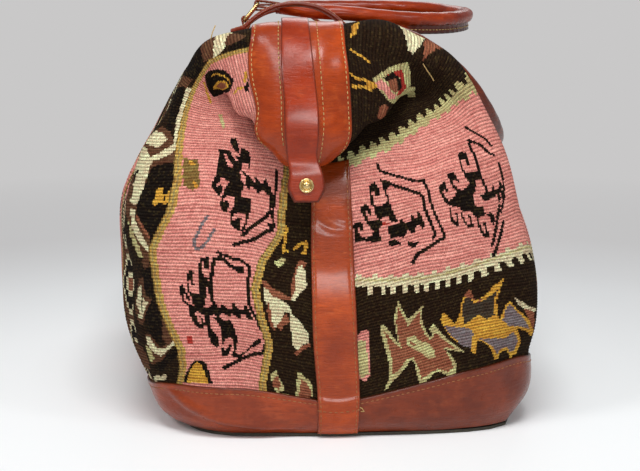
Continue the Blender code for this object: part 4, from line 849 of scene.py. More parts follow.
def paintRight(u, v):
    upper, lower = np.interp(u, *upperEdge), np.interp(u, *lowerEdge)
    colour = np.where((v > lower)[:, None], dyes["pink"], dyes["brown"])
    colour[v > upper] = dyes["brown"]
    # upper comb with its stepped teeth
    over = v - upper
    for low, high, cut in ((-5, -2, teeth(u, 13, 0.45, 5)), (-2, 5, True), (5, 9, teeth(u, 9.6, 0.62, 3)),
                           (9, 12, teeth(u, 9.6, 0.34, 1.8))):
        colour[(over >= low) & (over < high) & cut] = dyes["pistachio"]
    # lower comb, teeth hanging into the brown field
    under = v - lower
    pitch, lean = np.where(u < 36, 12.5, 8.4), 0.55 * np.clip(u - 90, 0, 60) / 60
    slanted = np.mod(u + lean * under, pitch) < 3.9
    for low, high, dye, cut in ((-2.8, 4.6, "cream", True), (1.4, 3.0, "pistachio", True),
                                (-9.5, -2.8, "cream", slanted), (4.6, 7.2, "cream", teeth(u, 11, 0.4, 4))):
        colour[(under > low) & (under < high) & cut] = dyes[dye]
    paintShapes(colour, u, v, ("hookMotifA", "hookMotifB", "hexagon", "starRust", "starMauve", "leafEnd",
                               "roofDiamond", "roofMarks"))
    first, pitch, high, size = rightRows["hooks"]
    for k in range(9):
        steppedHook(colour, u, v, first + pitch * k, high, size)
    first, pitch, high, size = rightRows["stars"]
    for k in range(9):
        eightStar(colour, u, v, first + pitch * k, high, size, *starDyes[k % 2])
    first, pitch, high, size = rightRows["smallStars"]
    for k in range(8):
        eightStar(colour, u, v, first + pitch * k, high, size, "pistachio", "pink" if k % 2 else "rust",
                  "black")
    for k in range(9):
        colour[(np.abs(u - 178 - 66 * k) < 3.5) & (np.abs(v - 300) < 14)] = dyes["mustard"]
    return colour


# the two braided borders of the left half, as (height, girth place), and the pitch of its bands
braidOne = ((-12, 15, 33, 77, 118, 149, 174, 209, 251, 303, 340, 385),
            (136, 122, 120, 130, 134, 122, 120, 125, 130, 137, 127, 120))
braidTwo = ((-12, 5, 43, 64, 89, 113, 138, 167, 205, 385), (61, 60, 53, 58, 62, 56, 42, 40, 36, 30))
leftBands = {"first": 55, "pitch": 150.0, "next": 205, "hidden": -99}


def paintBraid(colour, u, v, line, gauge=3.0):
    off = u - line
    colour[np.abs(off) < gauge] = dyes["straw"]
    ply = np.mod(v + 1.4 * off, 5.4) < 1.6
    colour[(np.abs(off) < gauge) & ply] = 0.6 * dyes["mustard"] + 0.4 * dyes["straw"]
    colour[np.abs(off) < 0.22 * gauge] = 0.55 * dyes["sage"] + 0.45 * dyes["straw"]
    colour[np.abs(off - 0.9 * gauge) < 0.15 * gauge] = dyes["olive"]


def paintLeft(u, v):
    start, pitch, hidden = leftBands["first"], leftBands["pitch"], leftBands["hidden"]
    k = np.floor((u - start) / pitch)
    band = np.where(u < start, u, start + np.mod(u - start, pitch))
    one = np.interp(v, *braidOne) + np.where(k > 0, 3 * np.sin(v / 37 + k), 0)
    two = np.interp(v, *braidTwo)
    twoAgain = leftBands["next"] + 3 * np.sin(v / 43 + k)        # where the next pink band starts
    colour = np.tile(dyes["brown"], (len(u), 1))
    colour[(band > two) & (band < one)] = dyes["pink"]
    outer = band > one
    colour[outer] = dyes["brown"]
    edge = outer & (band < one + 9) & (np.mod(v, 34) < 25) & (k > 0)
    colour[edge] = dyes["cream"]
    colour[edge & (np.mod(v + 2 * band, 9) < 3)] = dyes["pistachio"]
    # what the photograph doesn't show of the outer band: hooked lozenges between cream stripes
    cells = np.floor(np.abs(np.mod(v + 18 * k, 58) - 29) / 5.4) + np.floor(np.abs(band - 178) / 5.4)
    far = outer & (band > 158) & (k >= np.where(band > 168, 0, 1))
    paintSteps(colour, far, cells, ((8, "umber"), (5, "cream"), (4, "black"), (2, "cream"), (1, "rust")))
    colour[far & (cells > 8)] = dyes["pistachio"]
    paintShapes(colour, u, v, ("cornerMarks", "hookMotifC", "hookMotifD", "leftMarks", "strapMarks"))
    for n in range(1, 5):
        for high in (62, 148, 236, 316):
            steppedHook(colour, u, v, 94 + pitch * n, high, 26)
    for along, line in ((band, one), (band, np.where(k >= 0, two, hidden)),
                        (band, np.where(k >= 0, twoAgain, hidden)), (u, np.where(u < 80, two, hidden))):
        paintBraid(colour, along, v, line)
    return colour


yarn = {
    "rows": 400,               # dye lots, one for each row of weft, of which some lie below v = 0
    "below": 40,
    "lots": (0.89, 1.1),
    "cells": 140,
    "cell": 6.0,               # mm along a row that one patch takes
    "patch": 0.13,
    "stitch": 0.21,
    "warpShows": 0.2,          # share of the stitches, and how much of the pale warp
    "warpTone": 0.04,
    "lotSeed": 7,
    "warpSeed": 31,
}


def yarnTones(u, v, seed):
    # every row of weft has its own dye lot, and patches and single stitches differ within it
    rng = np.random.default_rng(seed)
    rows = np.floor(v / kilimCloth["ribPitch"]).astype(int) + yarn["below"]
    lots = rng.uniform(*yarn["lots"], yarn["rows"])[rows]
    cells = rng.uniform(-1, 1, (yarn["rows"], yarn["cells"]))
    x = u / yarn["cell"]
    i, f = np.floor(x).astype(int), x - np.floor(x)
    patch = cells[rows, i] * (1 - f) + cells[rows, i + 1] * f
    stitch = rng.uniform(-1, 1, len(u))
    light = lots * (1 + yarn["patch"] * patch) * (1 + yarn["stitch"] * stitch)
    warm = np.clip(1 - light, -0.2, 0.35)
    return light[:, None] * np.stack([1 + 0.35 * warm, 1 - 0.25 * warm, 1 - 0.2 * warm], -1)


def weaveTones(side, u, v):
    tones = (paintRight if side > 0 else paintLeft)(u, v)
    # a little of the pale warp shows between the stitches
    shown = np.random.default_rng(yarn["warpSeed"] + side).random(len(u))[:, None] < yarn["warpShows"]
    tones = tones + np.where(shown, yarn["warpTone"], 0.0) * (dyes["straw"] - tones)
    return np.clip(tones * yarnTones(u, v, yarn["lotSeed"] + side), 0, 1)


def makeKilim(side):
    cloth, end, edge = kilimCloth, bag["girthEnd"], bag["edge"]
    us = np.concatenate([np.arange(edge, cloth["nearEnd"], cloth["nearColumn"]),
                         np.arange(cloth["nearEnd"], end - 1.5, cloth["farColumn"]), [end - edge]])
    top = np.interp(endDistance(us), *cloth["topLine"])

    def rowsOf(t):
        return cloth["foot"] + (top[:, None] - cloth["foot"]) * t[None, :]

    row = rowsOf(np.linspace(0, 1, cloth["rows"]))
    u = np.repeat(us[:, None], row.shape[1], axis=1)
    rib = cloth["ribDepth"] * np.cos(2 * math.pi * row / cloth["ribPitch"])
    # the rows of weft run unevenly
    uneven = waves(u, row, ((1.0, 24, 31, 1.3 * side), (0.7, -13, 19, 0.4), (0.35, 7, 40, 2.0)))
    v = row + cloth["uneven"] * uneven * smooth(row, 2, 40) * (1 - smooth(row, 290, 335))
    outer, _ = laid(side, u, v, bag["cloth"] - cloth["ribDepth"] + rib)
    vIn = rowsOf(np.linspace(1, 0, cloth["innerRows"]))
    uIn = np.repeat(us[:, None], vIn.shape[1], axis=1)
    inner, _ = laid(side, uIn, vIn, 0.0)
    points = np.concatenate([outer, inner], axis=1)
    na, nb = points.shape[:2]
    quads = ringFaces(na, nb)
    if side < 0:
        quads = quads[:, ::-1]
    faces = quads.tolist()
    for ring, turned in ((0, side > 0), (na - 1, side < 0)):
        faces += [f[::-1] if turned else f for f in capFaces(ring, nb, outer.shape[1])]
    ob = newObject("kilim" + sideName[side], points.reshape(-1, 3), faces, kilimWool)
    allU, allV, allRows = (np.concatenate(pair, axis=1).ravel() for pair in ((u, uIn), (v, vIn), (row, vIn)))
    setUv(ob, np.stack([allU, allRows], -1) * 0.001)
    tones = weaveTones(side, allU[quads].mean(axis=1), allV[quads].mean(axis=1))
    tones = np.concatenate([tones, np.tile(dyes["brown"], (len(faces) - len(quads), 1))])
    tones = np.repeat(tones, [len(f) for f in faces], axis=0)
    layer = ob.data.color_attributes.new("weave", "FLOAT_COLOR", "CORNER")
    values = np.concatenate([tones, np.ones((len(tones), 1))], axis=1)
    layer.data.foreach_set("color", values.astype(np.float32).ravel())
    standIn(ob, "bag")


for side in (1, -1):
    makeKilim(side)
print("kilim woven")


def bandMesh(name, base, normal, low, high, across, along, material, soft=0.0009, roundStart=False,
             roundEnd=False):
    # closed leather band: base[along, across] with its outward direction, low and high above it
    na, nd = base.shape[:2]
    low = np.broadcast_to(low, (na, nd))
    high = np.broadcast_to(high, (na, nd))
    fromSide = np.minimum(across - across[0], across[-1] - across)[None, :] + np.zeros((na, 1))
    fromEnd = np.full(na, 1.0)
    if roundStart:
        fromEnd = np.minimum(fromEnd, along - along[0])
    if roundEnd:
        fromEnd = np.minimum(fromEnd, along[-1] - along)
    rim = np.minimum(fromSide, fromEnd[:, None])
    sink = soft - np.sqrt(np.maximum(soft ** 2 - (soft - np.minimum(rim, soft)) ** 2, 0))
    outer = base + normal * (high - np.minimum(sink, 0.8 * (high - low)))[..., None]
    back = [nd - 1, (2 * nd) // 3, nd // 3, 0]
    inner = base[:, back] + normal[:, back] * low[:, back][..., None]
    points = np.concatenate([outer, inner], axis=1)
    nb = nd + len(back)
    faces = ringFaces(na, nb).tolist() + capFaces(0, nb, nd) + capFaces(na - 1, nb, nd)
    ob = newObject(name, points.reshape(-1, 3), faces, material)
    faceOut(ob)
    uv = np.zeros((na, nb, 2))
    uv[..., 0] = along[:, None]
    uv[..., 1] = np.concatenate([across, across[back]])
    setUv(ob, uv.reshape(-1, 2))
    edge = np.zeros((na, nb))
    edge[:, :nd] = np.clip(rim / 0.008, 0, 1)
    setFloats(ob, "rim", edge.ravel())
    return ob


def acrossMarks(width, step=3.0, seams=()):
    # distances across a band in mm: close together at its edges and at its stitched seams
    marks = [0, 0.2, 0.5, 0.95]
    marks = marks + [width - m for m in marks]
    for s in seams:
        marks += [s - 0.9, s, s + 0.9]
    marks += [m for m in np.arange(step, width - 1.5, step) if all(abs(m - s) > 1.8 for s in seams)]
    return np.array(sorted(marks))


def sunkSeams(marks, seams, depth=0.00030):
    return -depth * sum((np.exp(-((marks - s) / 0.7) ** 2) for s in seams), np.zeros(len(marks)))


threadRuns = {}                # body and thread: runs of (points, up directions)


def sewn(body, thread, points, ups):
    threadRuns.setdefault((body, thread), []).append((np.asarray(points), np.asarray(ups)))


def sewSeams(body, thread, seams, marks, rows, base, n, high, lift=0.0001):
    # a line of stitches on each seam of a band, along its rows
    for seam in seams:
        k = int(np.argmin(abs(marks - seam)))
        sewn(body, thread, base[rows, k] + n[rows, k] * (high[rows, k] + lift)[:, None], n[rows, k])


def girthPlaces(first, corner, dense, middle):
    # places along the girth, closer together round both ends of the bag
    end = bag["girthEnd"]
    return np.concatenate([np.linspace(first, corner, dense), np.linspace(corner, end - corner, middle)[1:],
                           np.linspace(end - corner, end - first, dense)[1:]])


baseTrim = {
    "width": 50.0,
    "seam": 4.6,
    "low": bag["overCloth"],
    "high": 0.0053,
    "floor": 0.0029,
    "dents": 0.0011,
    "sewnFrom": 19.0,
    "pinch": 0.0030,           # a fold at the near left corner with a sag under it
    "pinchSag": 0.0009,
    "pinchLine": ((28, 60, 97, 126, 142), (-41, -36, -31, -19, -10)),      # girth places, heights
}


def trimDents(side, u, v):
    d = waves(u, v, ((0.5, 31, 13, 1.0 + side), (0.35, -17, 21, 2.4), (0.25, 12, 9, 0.4)))
    return (baseTrim["dents"] * (0.5 + 0.5 * np.clip(d, -1, 1)) * smooth(endDistance(u), 19, 45)
            * smooth(v, 0, -12))


def keepOffFloor(ob):
    for vert in ob.data.vertices:
        vert.co.z = max(vert.co.z, baseTrim["floor"])


def makeTrim(side):
    seam = baseTrim["seam"]
    marks = acrossMarks(baseTrim["width"], 2.5, (seam,))
    us = girthPlaces(bag["edge"], 190, 96, 130)
    u, v = np.meshgrid(us, -marks, indexing="ij")
    base, n = laid(side, u, v, 0.0)
    relief = trimDents(side, u, v)
    if side < 0:
        line = np.interp(u, *baseTrim["pinchLine"])
        fade = 1 - smooth(u, 128, 150)
        fold = np.exp(-((v - line - 5) / 3.6) ** 2) * smooth(u, 24, 70) * fade
        sag = np.exp(-((v - line + 2.5) / 2.6) ** 2) * smooth(u, 40, 80) * fade
        relief = np.maximum(relief + baseTrim["pinch"] * fold - baseTrim["pinchSag"] * sag, -0.0004)
    high = baseTrim["high"] + relief + sunkSeams(marks, (seam,))[None, :]
    # the right half's trim takes the darker copy: painted shade
    hide = leathers["trimShadeLeather" if side > 0 else "trimLeather"]
    ob = bandMesh("baseTrim" + sideName[side], base, n, baseTrim["low"], high, marks * 0.001, us * 0.001,
                  hide, 0.0010)
    keepOffFloor(ob)
    standIn(ob, "bag")
    us = np.linspace(baseTrim["sewnFrom"], bag["girthEnd"] - baseTrim["sewnFrom"], 300)
    v = np.full(len(us), -seam)
    points, ups = laid(side, us, v, 0.0)
    height = baseTrim["high"] + trimDents(side, us, v) - 0.00015
    sewn("bag", "brownThread", points + ups * height[:, None], ups)


for side in (1, -1):
    makeTrim(side)

endStrap = {"half": 17.0, "top": 205.0, "foot": -50.0, "seam": 2.6, "cross": -9.5, "overTrim": 0.0056,
            "shadeFrom": 0.168, "shadeTo": 0.214, "shade": 0.96}


def makeEndStrap(far):
    end, sign = (bag["girthEnd"], -1.0) if far else (0.0, 1.0)
    width = 2 * endStrap["half"]
    seams = (endStrap["seam"], width - endStrap["seam"])
    marks = acrossMarks(width, 2.6, seams)
    v = np.linspace(endStrap["foot"], endStrap["top"], 150)
    vv, mm = np.meshgrid(v, marks, indexing="ij")
    base, n = laid(1, end + sign * (mm - endStrap["half"]), vv, 0.0)
    wrinkle = 0.5 + 0.5 * np.sin(vv / 2.1 + 0.35 * mm * np.sin(vv / 11))
    relief = 0.0007 * wrinkle * np.exp(-((vv - 160) / 16) ** 2) * smooth(mm, 0, 9) \
        + 0.0004 * (0.5 + 0.5 * np.sin(vv / 17 + 1)) * np.sin(np.pi * mm / width)
    # it steps down from the trim onto the cloth
    low = endStrap["overTrim"] + (bag["overCloth"] - endStrap["overTrim"]) * smooth(vv, 0.6, 8.0)
    high = low + bag["strap"] + relief + sunkSeams(marks, seams)[None, :]
    ob = bandMesh("endStrap" + endName[far], base, n, low, high, marks * 0.001, (v - v[0]) * 0.001,
                  leathers["strapLeather"], 0.0011, False, True)
    keepOffFloor(ob)
    # painted shade where the tab hangs over it
    shade = np.zeros(len(ob.data.vertices), np.float32)
    ob.data.attributes["rim"].data.foreach_get("value", shade)
    rise = np.array([vert.co.z for vert in ob.data.vertices])
    shade = shade * (1 - endStrap["shade"] * smooth(rise, endStrap["shadeFrom"], endStrap["shadeTo"]))
    ob.data.attributes["rim"].data.foreach_set("value", shade.astype(np.float32))
    standIn(ob, "bag")
    sewSeams("bag", "brownThread", seams, marks, slice(4, -2), base, n, high, 0.00015)
    k = int(np.argmin(abs(v - endStrap["cross"])))
    inside = slice(3, -3)
    sewn("bag", "brownThread", base[k, inside] + n[k, inside] * (high[k, inside] + 0.0001)[:, None],
         n[k, inside])


for far in (False, True):
    makeEndStrap(far)

# the left welt reaches further down beside the near tab and has an upper edge of its own, by mm from an
# end seam; the right one's inner seam lies further in
welt = {"bottom": 344.0, "top": 380.0, "low": bag["overCloth"], "high": 0.0053, "seam": 3.0, "start": 17.0,
        "wider": 8.0, "rightSeam": 8.0, "leftTop": ((0, 17, 188, 200), (384.4, 384.4, 384.4, 380.0))}


def makeWelt(side):
    us = girthPlaces(welt["start"], 215, 100, 120)
    ends = endDistance(us)
    width = welt["top"] - welt["bottom"]
    top, bottom = np.full(len(us), welt["top"]), np.full(len(us), welt["bottom"])
    seams = (welt["seam"], width - welt["seam"] - (welt["rightSeam"] if side > 0 else 0.0))
    if side < 0:
        top = np.interp(ends, *welt["leftTop"])
        bottom = bottom - welt["wider"] * smooth(us, 30, 62) * (1 - smooth(us, 92, 150))
    marks = acrossMarks(width, 2.4, seams)
    u = np.repeat(us[:, None], len(marks), axis=1)
    v = bottom[:, None] + (top - bottom)[:, None] * (marks / width)[None, :]
    base, n = laid(side, u, v, 0.0)
    ripple = waves(u, v, ((0.5, 23, 17, side), (0.5, 9, -12, 2.0)))
    relief = 0.0004 * (0.5 + 0.5 * ripple) * smooth(marks, 0, 8)[None, :]
    high = welt["high"] + relief + sunkSeams(marks, seams)[None, :]
    if side < 0:
        # flat under the tabs
        high = high - relief * smooth(v, 360, 366) * (1 - smooth(ends, 192, 203))[:, None]
    ob = bandMesh("welt" + sideName[side], base, n, welt["low"], high, marks * 0.001, us * 0.001,
                  leathers["cognacLeather"], 0.0009, True, True)
    standIn(ob, "bag")
    sewSeams("bag", "paleThread", seams, marks, slice(1, -1), base, n, high)


for side in (1, -1):
    makeWelt(side)


def sampled(places, knots, rows):
    return np.stack([np.interp(places, knots, rows[:, k]) for k in range(rows.shape[1])], -1)


def evenPath(points, count):
    pts = np.array([tuple(p) for p in points], float)
    knots = runLength(pts)
    dense = splineWeights(np.linspace(0, knots[-1], 500), knots) @ pts
    length = runLength(dense)
    return sampled(np.linspace(0, length[-1], count), length, dense)


def makeStrip(name, stations, thickness, material, count, seams=(), soft=0.001, body="bag",
              straight=False, waveSize=0.0, sewTo=1.0):
    # strip through stations of (left, right, up); it grows upward by its thickness
    rows = np.array([np.concatenate([l, r, np.array(u) / np.linalg.norm(u) * 0.01]) for l, r, u in stations])
    if straight:
        knots = runLength(rows)
        rows = sampled(np.linspace(0, knots[-1], count), knots, rows)
    else:
        rows = evenPath(rows, count)
    left, right, up = rows[:, :3], rows[:, 3:6], unit(rows[:, 6:])
    along = runLength((left + right) / 2)
    width = 1000 * float(np.median(np.linalg.norm(right - left, axis=1)))
    seams = [s if s > 0 else width + s for s in seams]
    marks = acrossMarks(width, 2.6, seams)
    share = marks / width
    base = left[:, None] * (1 - share)[None, :, None] + right[:, None] * share[None, :, None]
    n = np.repeat(up[:, None], len(marks), axis=1)
    ripple = 0.5 + 0.5 * np.sin(along[:, None] * 210 + share[None, :] * 2.2)
    high = thickness + waveSize * ripple * np.sin(np.pi * share)[None, :] + sunkSeams(marks, seams)[None, :]
    ob = bandMesh(name, base, n, 0.0, high, marks * 0.001, along, material, soft, True, True)
    sewSeams(body, "paleThread", seams, marks, slice(2, int(sewTo * (count - 1)) - 1), base, n, high)
    return ob


# "clears" holds the half and the height of the points that a tab must pass over
endTab = {"reach": 16.0, "over": (2.5, 5.5), "slack": 0.0005, "endWidth": 0.029, "drop": 0.016,
          "stud": 0.012, "studUp": 0.013, "start": 190.0, "stop": 36.2, "low": 0.0059, "gap": 0.0006,
          "clears": ((-1, 372.0), (-1, 377.0), (-1, 380.0), (-1, 384.4), (1, 380.0), (1, 377.0))}
# the stud cap's dome, as (share of its radius, height)
studDome = ((0.97, 0.00115), (0.9, 0.0014), (0.83, 0.0014), (0.75, 0.0011), (0.68, 0.0007), (0.61, 0.0006),
            (0.56, 0.0008), (0.52, 0.0014), (0.45, 0.0019), (0.34, 0.0024), (0.22, 0.0027), (0.1, 0.0028),
            (0, 0.00285))


def tabStations(far):
    # across the mouth from the left welt to the right one, high enough to clear both
    us = np.linspace(endTab["start"], endTab["stop"], 17)
    if far:
        us = bag["girthEnd"] - us
    left, _ = laid(-1, us, bag["mouth"] - endTab["reach"], endTab["low"])
    over = endTab["over"][0] + endTab["over"][1] * np.linspace(0, 1, len(us))
    right, _ = laid(1, us, welt["top"] - over, endTab["low"])
    n = mouthNormalAt(us)
    chord = right - left
    span = np.linalg.norm(chord, axis=1, keepdims=True)
    right = right - chord / span * (bag["seat"] + 0.0002)
    lift = np.zeros(len(us))
    for side, v in endTab["clears"]:
        q, _ = laid(side, us, v, endTab["low"])
        t = np.sum((q - left) * chord, axis=1) / span[:, 0] ** 2
        lift = np.maximum(lift, np.sum((q - left - t[:, None] * chord) * n, axis=1))
    lift = (lift + endTab["slack"])[:, None] * n
    return list(zip(left + lift, right + lift, n))


def turned(name, profile, centre, axis, material, steps=48):
    # (radius, height) points turned round an axis; a radius of 0 closes an end
    spin = Vector((0, 0, 1)).rotation_difference(Vector(axis).normalized()).to_matrix()
    turns = np.linspace(0, 2 * math.pi, steps, endpoint=False)
    verts, rings, faces = [], [], []
    for r, h in profile:
        ring = [(0, 0, h)] if r == 0 else [(r * math.cos(t), r * math.sin(t), h) for t in turns]
        rings.append([len(verts) + k for k in range(len(ring))])
        verts += [tuple(Vector(centre) + spin @ Vector(p)) for p in ring]
    for low, high in zip(rings[:-1], rings[1:]):
        for k in range(steps):
            m = (k + 1) % steps
            lower = [low[0]] if len(low) == 1 else [low[k], low[m]]
            upper = [high[0]] if len(high) == 1 else [high[m], high[k]]
            faces.append(tuple(lower + upper))
    ob = newObject(name, verts, faces, material)
    faceOut(ob)
    ob.data.set_sharp_from_angle(angle=math.radians(38))
    return ob


def makeEndTab(far):
    tag, sign = endName[far], -1.0 if far else 1.0
    stations = tabStations(far)
    left, right, _ = stations[-1]
    tipX, _, tipZ = innerPoint(1, bag["girthEnd"] if far else 0.0, bag["mouth"])
    half = endTab["endWidth"] / 2
    hang = sign * min(sign * left[1], sign * right[1]) - sign * endTab["gap"]
    topZ, endZ = tipZ + 0.004, tipZ - endTab["drop"]

    def hanging(rows, y, facing):
        return [((tipX - half * share, y, z), (tipX + half * share, y, z), (0.0, facing, 0.0))
                for z, share in rows]

    rows = [(topZ, 0.95), (topZ - 0.006, 0.99), (endZ + 0.0115, 1.0), (endZ + 0.0105, 0.985)]
    rows += [(endZ + 0.0090 * (1 - s), 0.96 - 0.32 * s) for s in np.linspace(0, 1, 7)]
    rows += [(endZ - 0.0005, 0.58)]
    ob = makeStrip("endTab" + tag, stations + hanging(rows, hang, -sign), bag["strap"],
                   leathers["tabLeather"], 150, soft=0.0011, waveSize=0.0002)
    standIn(ob, "bag")
    rows = [(topZ - 0.002, 1.0), (endZ + 0.0095, 1.05)]
    rows += [(endZ - 0.0012 + 0.0092 * (1 - t), 1.02 - 0.34 * t) for t in np.linspace(0, 1, 6)]
    ob = makeStrip("tabBacking" + tag, hanging(rows, hang + sign * bag["seat"], sign), bag["leather"],
                   leathers["cognacLeather"], 60, soft=0.0008, straight=True)
    standIn(ob, "bag")
    r = endTab["stud"] / 2
    cap = [(0, -0.0046), (0.0015, -0.0046), (0.0015, 0.0), (r - 0.0003, 0.0), (r, 0.0003), (r, 0.0008)]
    cap += [(r * share, h) for share, h in studDome]
    face = hang - sign * (bag["strap"] + bag["seat"])
    ob = turned("studCap" + tag, cap, (tipX, face, endZ + endTab["studUp"]), (0, -sign, 0), brass)
    standIn(ob, "bag")


# a sewn line on the left welt beside each tab
for far in (False, True):
    us = np.linspace(44, 184, 80)
    sewn("bag", "paleThread", *laid(-1, bag["girthEnd"] - us if far else us,
                                    bag["mouth"] - endTab["reach"] - 2.3, 0.0058))
for far in (False, True):
    makeEndTab(far)
print("leather cut and laid")


# the mouth's straight line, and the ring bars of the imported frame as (lower bar, upper bar)
alongMouth = np.array((0.0, 0.999651, -0.026433))
aboveMouth = np.array((0.0, 0.026433, 0.999651))
mouthMiddle = np.array((-0.0299, 0.0, 0.33991))
ringBars = {
    "LeftNear": ((-0.07632, -0.09689, 0.35021), (-0.06411, -0.09651, 0.36476)),
    "LeftFar": ((-0.07632, 0.09756, 0.34507), (-0.06411, 0.09794, 0.35962)),
    "RightNear": ((0.01149, -0.12316, 0.34489), (0.03049, -0.12316, 0.34489)),
    "RightFar": ((0.01149, 0.12355, 0.33837), (0.03049, 0.12355, 0.33837)),
}
endFall = {"LeftNear": -0.0026, "LeftFar": 0.0003, "RightNear": -0.0035, "RightFar": -0.0035}
ringSizes = {"bar": 0.003, "clearance": 0.001, "height": 0.022, "corner": 0.003, "loopWidth": 0.022,
             "loopThickness": 0.0018, "loopSeams": (2.2, -2.2), "endReach": 0.020}
# a loop's flat part on the bag, in mm down from the welt or from its own upper edge, and the place in
# metres where its curl starts
loopFoot = {"inset": 4.0, "length": 26.0, "stop": 3.2, "slope": 3.8, "curl": -0.0035}
ringPlaces = {-1: 97.0, 1: 123.0}          # mm from the middle of the mouth
loopMiddle = ringSizes["bar"] / 2 + bag["seat"] + ringSizes["loopThickness"] / 2


def makeTree(name, inputs):
    tree = bpy.data.node_groups.new(name, "GeometryNodeTree")
    tree.interface.new_socket("Geometry", in_out="INPUT", socket_type="NodeSocketGeometry")
    for label, value in inputs.items():
        socket = tree.interface.new_socket(label, in_out="INPUT", socket_type="NodeSocketFloat")
        socket.default_value = value
    tree.interface.new_socket("Geometry", in_out="OUTPUT", socket_type="NodeSocketGeometry")
    return tree, put(tree, "NodeGroupInput").outputs, put(tree, "NodeGroupOutput")


def finishTree(tree, geometry, end, material, smoothShade=True):
    made = out(tree, "GeometryNodeRealizeInstances", {"Geometry": geometry})
    if smoothShade:
        made = out(tree, "GeometryNodeSetShadeSmooth", {"Geometry": made})
    made = out(tree, "GeometryNodeSetMaterial", {"Geometry": made, "Material": material})
    feed(tree, end, {0: made})
    return tree


def stitchTree(material, sizes):
    # a flattened bead of thread at even steps along every run, turned to the run and its up direction
    tree, start, end = makeTree("stitches_" + material.name, sizes)
    curve = out(tree, "GeometryNodeMeshToCurve", {"Mesh": start["Geometry"]})
    even = out(tree, "GeometryNodeResampleCurve", {"Curve": curve, "Length": start["Pitch"]}, mode="LENGTH")
    tangent = out(tree, "GeometryNodeInputTangent")
    up = out(tree, "GeometryNodeInputNamedAttribute", {"Name": "up"}, data_type="FLOAT_VECTOR")
    turn = out(tree, "FunctionNodeAlignRotationToVector", {"Vector": tangent}, axis="X")
    turn = out(tree, "FunctionNodeAlignRotationToVector", {"Rotation": turn, "Vector": up}, axis="Z",
               pivot_axis="X")
    vary = out(tree, "FunctionNodeRandomValue",
               {"Min": (0.86, 0.8, 0.8), "Max": (1.08, 1.15, 1.2), "Seed": 4}, data_type="FLOAT_VECTOR")
    half = out(tree, "ShaderNodeCombineXYZ", {0: start["Length"], 1: start["Width"], 2: start["Width"]})
    size = out(tree, "ShaderNodeVectorMath", {0: half, 1: vary}, operation="MULTIPLY")
    bead = out(tree, "GeometryNodeMeshUVSphere", {"Segments": 7, "Rings": 5, "Radius": 0.5})
    placed = out(tree, "GeometryNodeInstanceOnPoints", {"Points": even, "Instance": bead, "Rotation": turn,
                                                        "Scale": size})
    return finishTree(tree, placed, end, material)


def tubeTree(material, radius=0.0015):
    tree, start, end = makeTree("tube_" + material.name, {"Radius": radius})
    curve = out(tree, "GeometryNodeMeshToCurve", {"Mesh": start["Geometry"]})
    profile = out(tree, "GeometryNodeCurvePrimitiveCircle", {"Resolution": 14, "Radius": start["Radius"]})
    tube = out(tree, "GeometryNodeCurveToMesh", {"Curve": curve, "Profile Curve": profile, "Fill Caps": True})
    return finishTree(tree, tube, end, material)


def toothTree(material, sizes):
    # two rows of zip teeth that mesh along a straight line
    tree, start, end = makeTree("zipTeeth", sizes)
    length, pitch, width = start["Length"], start["Pitch"], start["Width"]
    whole = sums(tree, "FLOOR", sums(tree, "DIVIDE", length, pitch))
    step = out(tree, "ShaderNodeCombineXYZ", {1: pitch})
    size = out(tree, "ShaderNodeCombineXYZ", {0: times(tree, width, 0.66), 1: times(tree, pitch, 0.42),
                                              2: start["Height"]})
    block = out(tree, "GeometryNodeMeshCube", {"Size": size})
    both = put(tree, "GeometryNodeJoinGeometry")
    for side in (-1, 1):
        first = plus(tree, times(tree, length, -0.5), times(tree, pitch, 0.25 + 0.5 * (side > 0)))
        first = out(tree, "ShaderNodeCombineXYZ", {0: times(tree, width, 0.17 * side), 1: first})
        row = out(tree, "GeometryNodeMeshLine", {"Count": whole, "Start Location": first, "Offset": step},
                  mode="OFFSET")
        feed(tree, both, {0: out(tree, "GeometryNodeInstanceOnPoints", {"Points": row, "Instance": block})})
    return finishTree(tree, both.outputs[0], end, material, False)


def grown(name, runs, tree, closed=False, ups=None, **sizes):
    # runs of points as edges, which the tree turns into a plain mesh
    verts, edges = [], []
    for run in runs:
        first, count = len(verts), len(run)
        edges += [(first + k, first + (k + 1) % count) for k in range(count if closed else count - 1)]
        verts += list(run)
    mesh = bpy.data.meshes.new(name)
    mesh.from_pydata(np.asarray(verts, float).tolist(), edges, [])
    if ups is not None:
        layer = mesh.attributes.new("up", "FLOAT_VECTOR", "POINT")
        layer.data.foreach_set("vector", np.asarray(ups, np.float32).ravel())
    ob = bpy.data.objects.new(name, mesh)
    scene.collection.objects.link(ob)
    modifier = ob.modifiers.new(tree.name, "NODES")
    modifier.node_group = tree
    for item in tree.interface.items_tree:
        if item.item_type == "SOCKET" and item.in_out == "INPUT" and item.name in sizes:
            modifier[item.identifier] = sizes[item.name]
    ready = bpy.context.evaluated_depsgraph_get()
    made = bpy.data.meshes.new_from_object(ob.evaluated_get(ready), depsgraph=ready)
    ob.modifiers.clear()
    ob.data = made
    return ob


def arcPoints(radius, start, end, steps, centre=(0.0, 0.0)):
    turns = np.radians(np.linspace(start, end, steps + 1))
    return [(centre[0] + radius * math.cos(t), centre[1] + radius * math.sin(t)) for t in turns]


def pathStations(path, origin, e, n, w, width, thickness):
    # stations of a strip whose middle follows a path in the plane of e and n, across w
    stations = []
    for k, (a, b) in enumerate(path):
        a0, b0 = path[max(k - 1, 0)]
        a1, b1 = path[min(k + 1, len(path) - 1)]
        t = np.array((a1 - a0, b1 - b0))
        t = t / np.linalg.norm(t)
        side = np.array((-t[1], t[0]))
        low = origin + e * (a - side[0] * thickness / 2) + n * (b - side[1] * thickness / 2)
        stations.append((low - w * width / 2, low + w * width / 2, e * side[0] + n * side[1]))
    return stations


def upward(n):
    return -n if n[2] < 0 else n


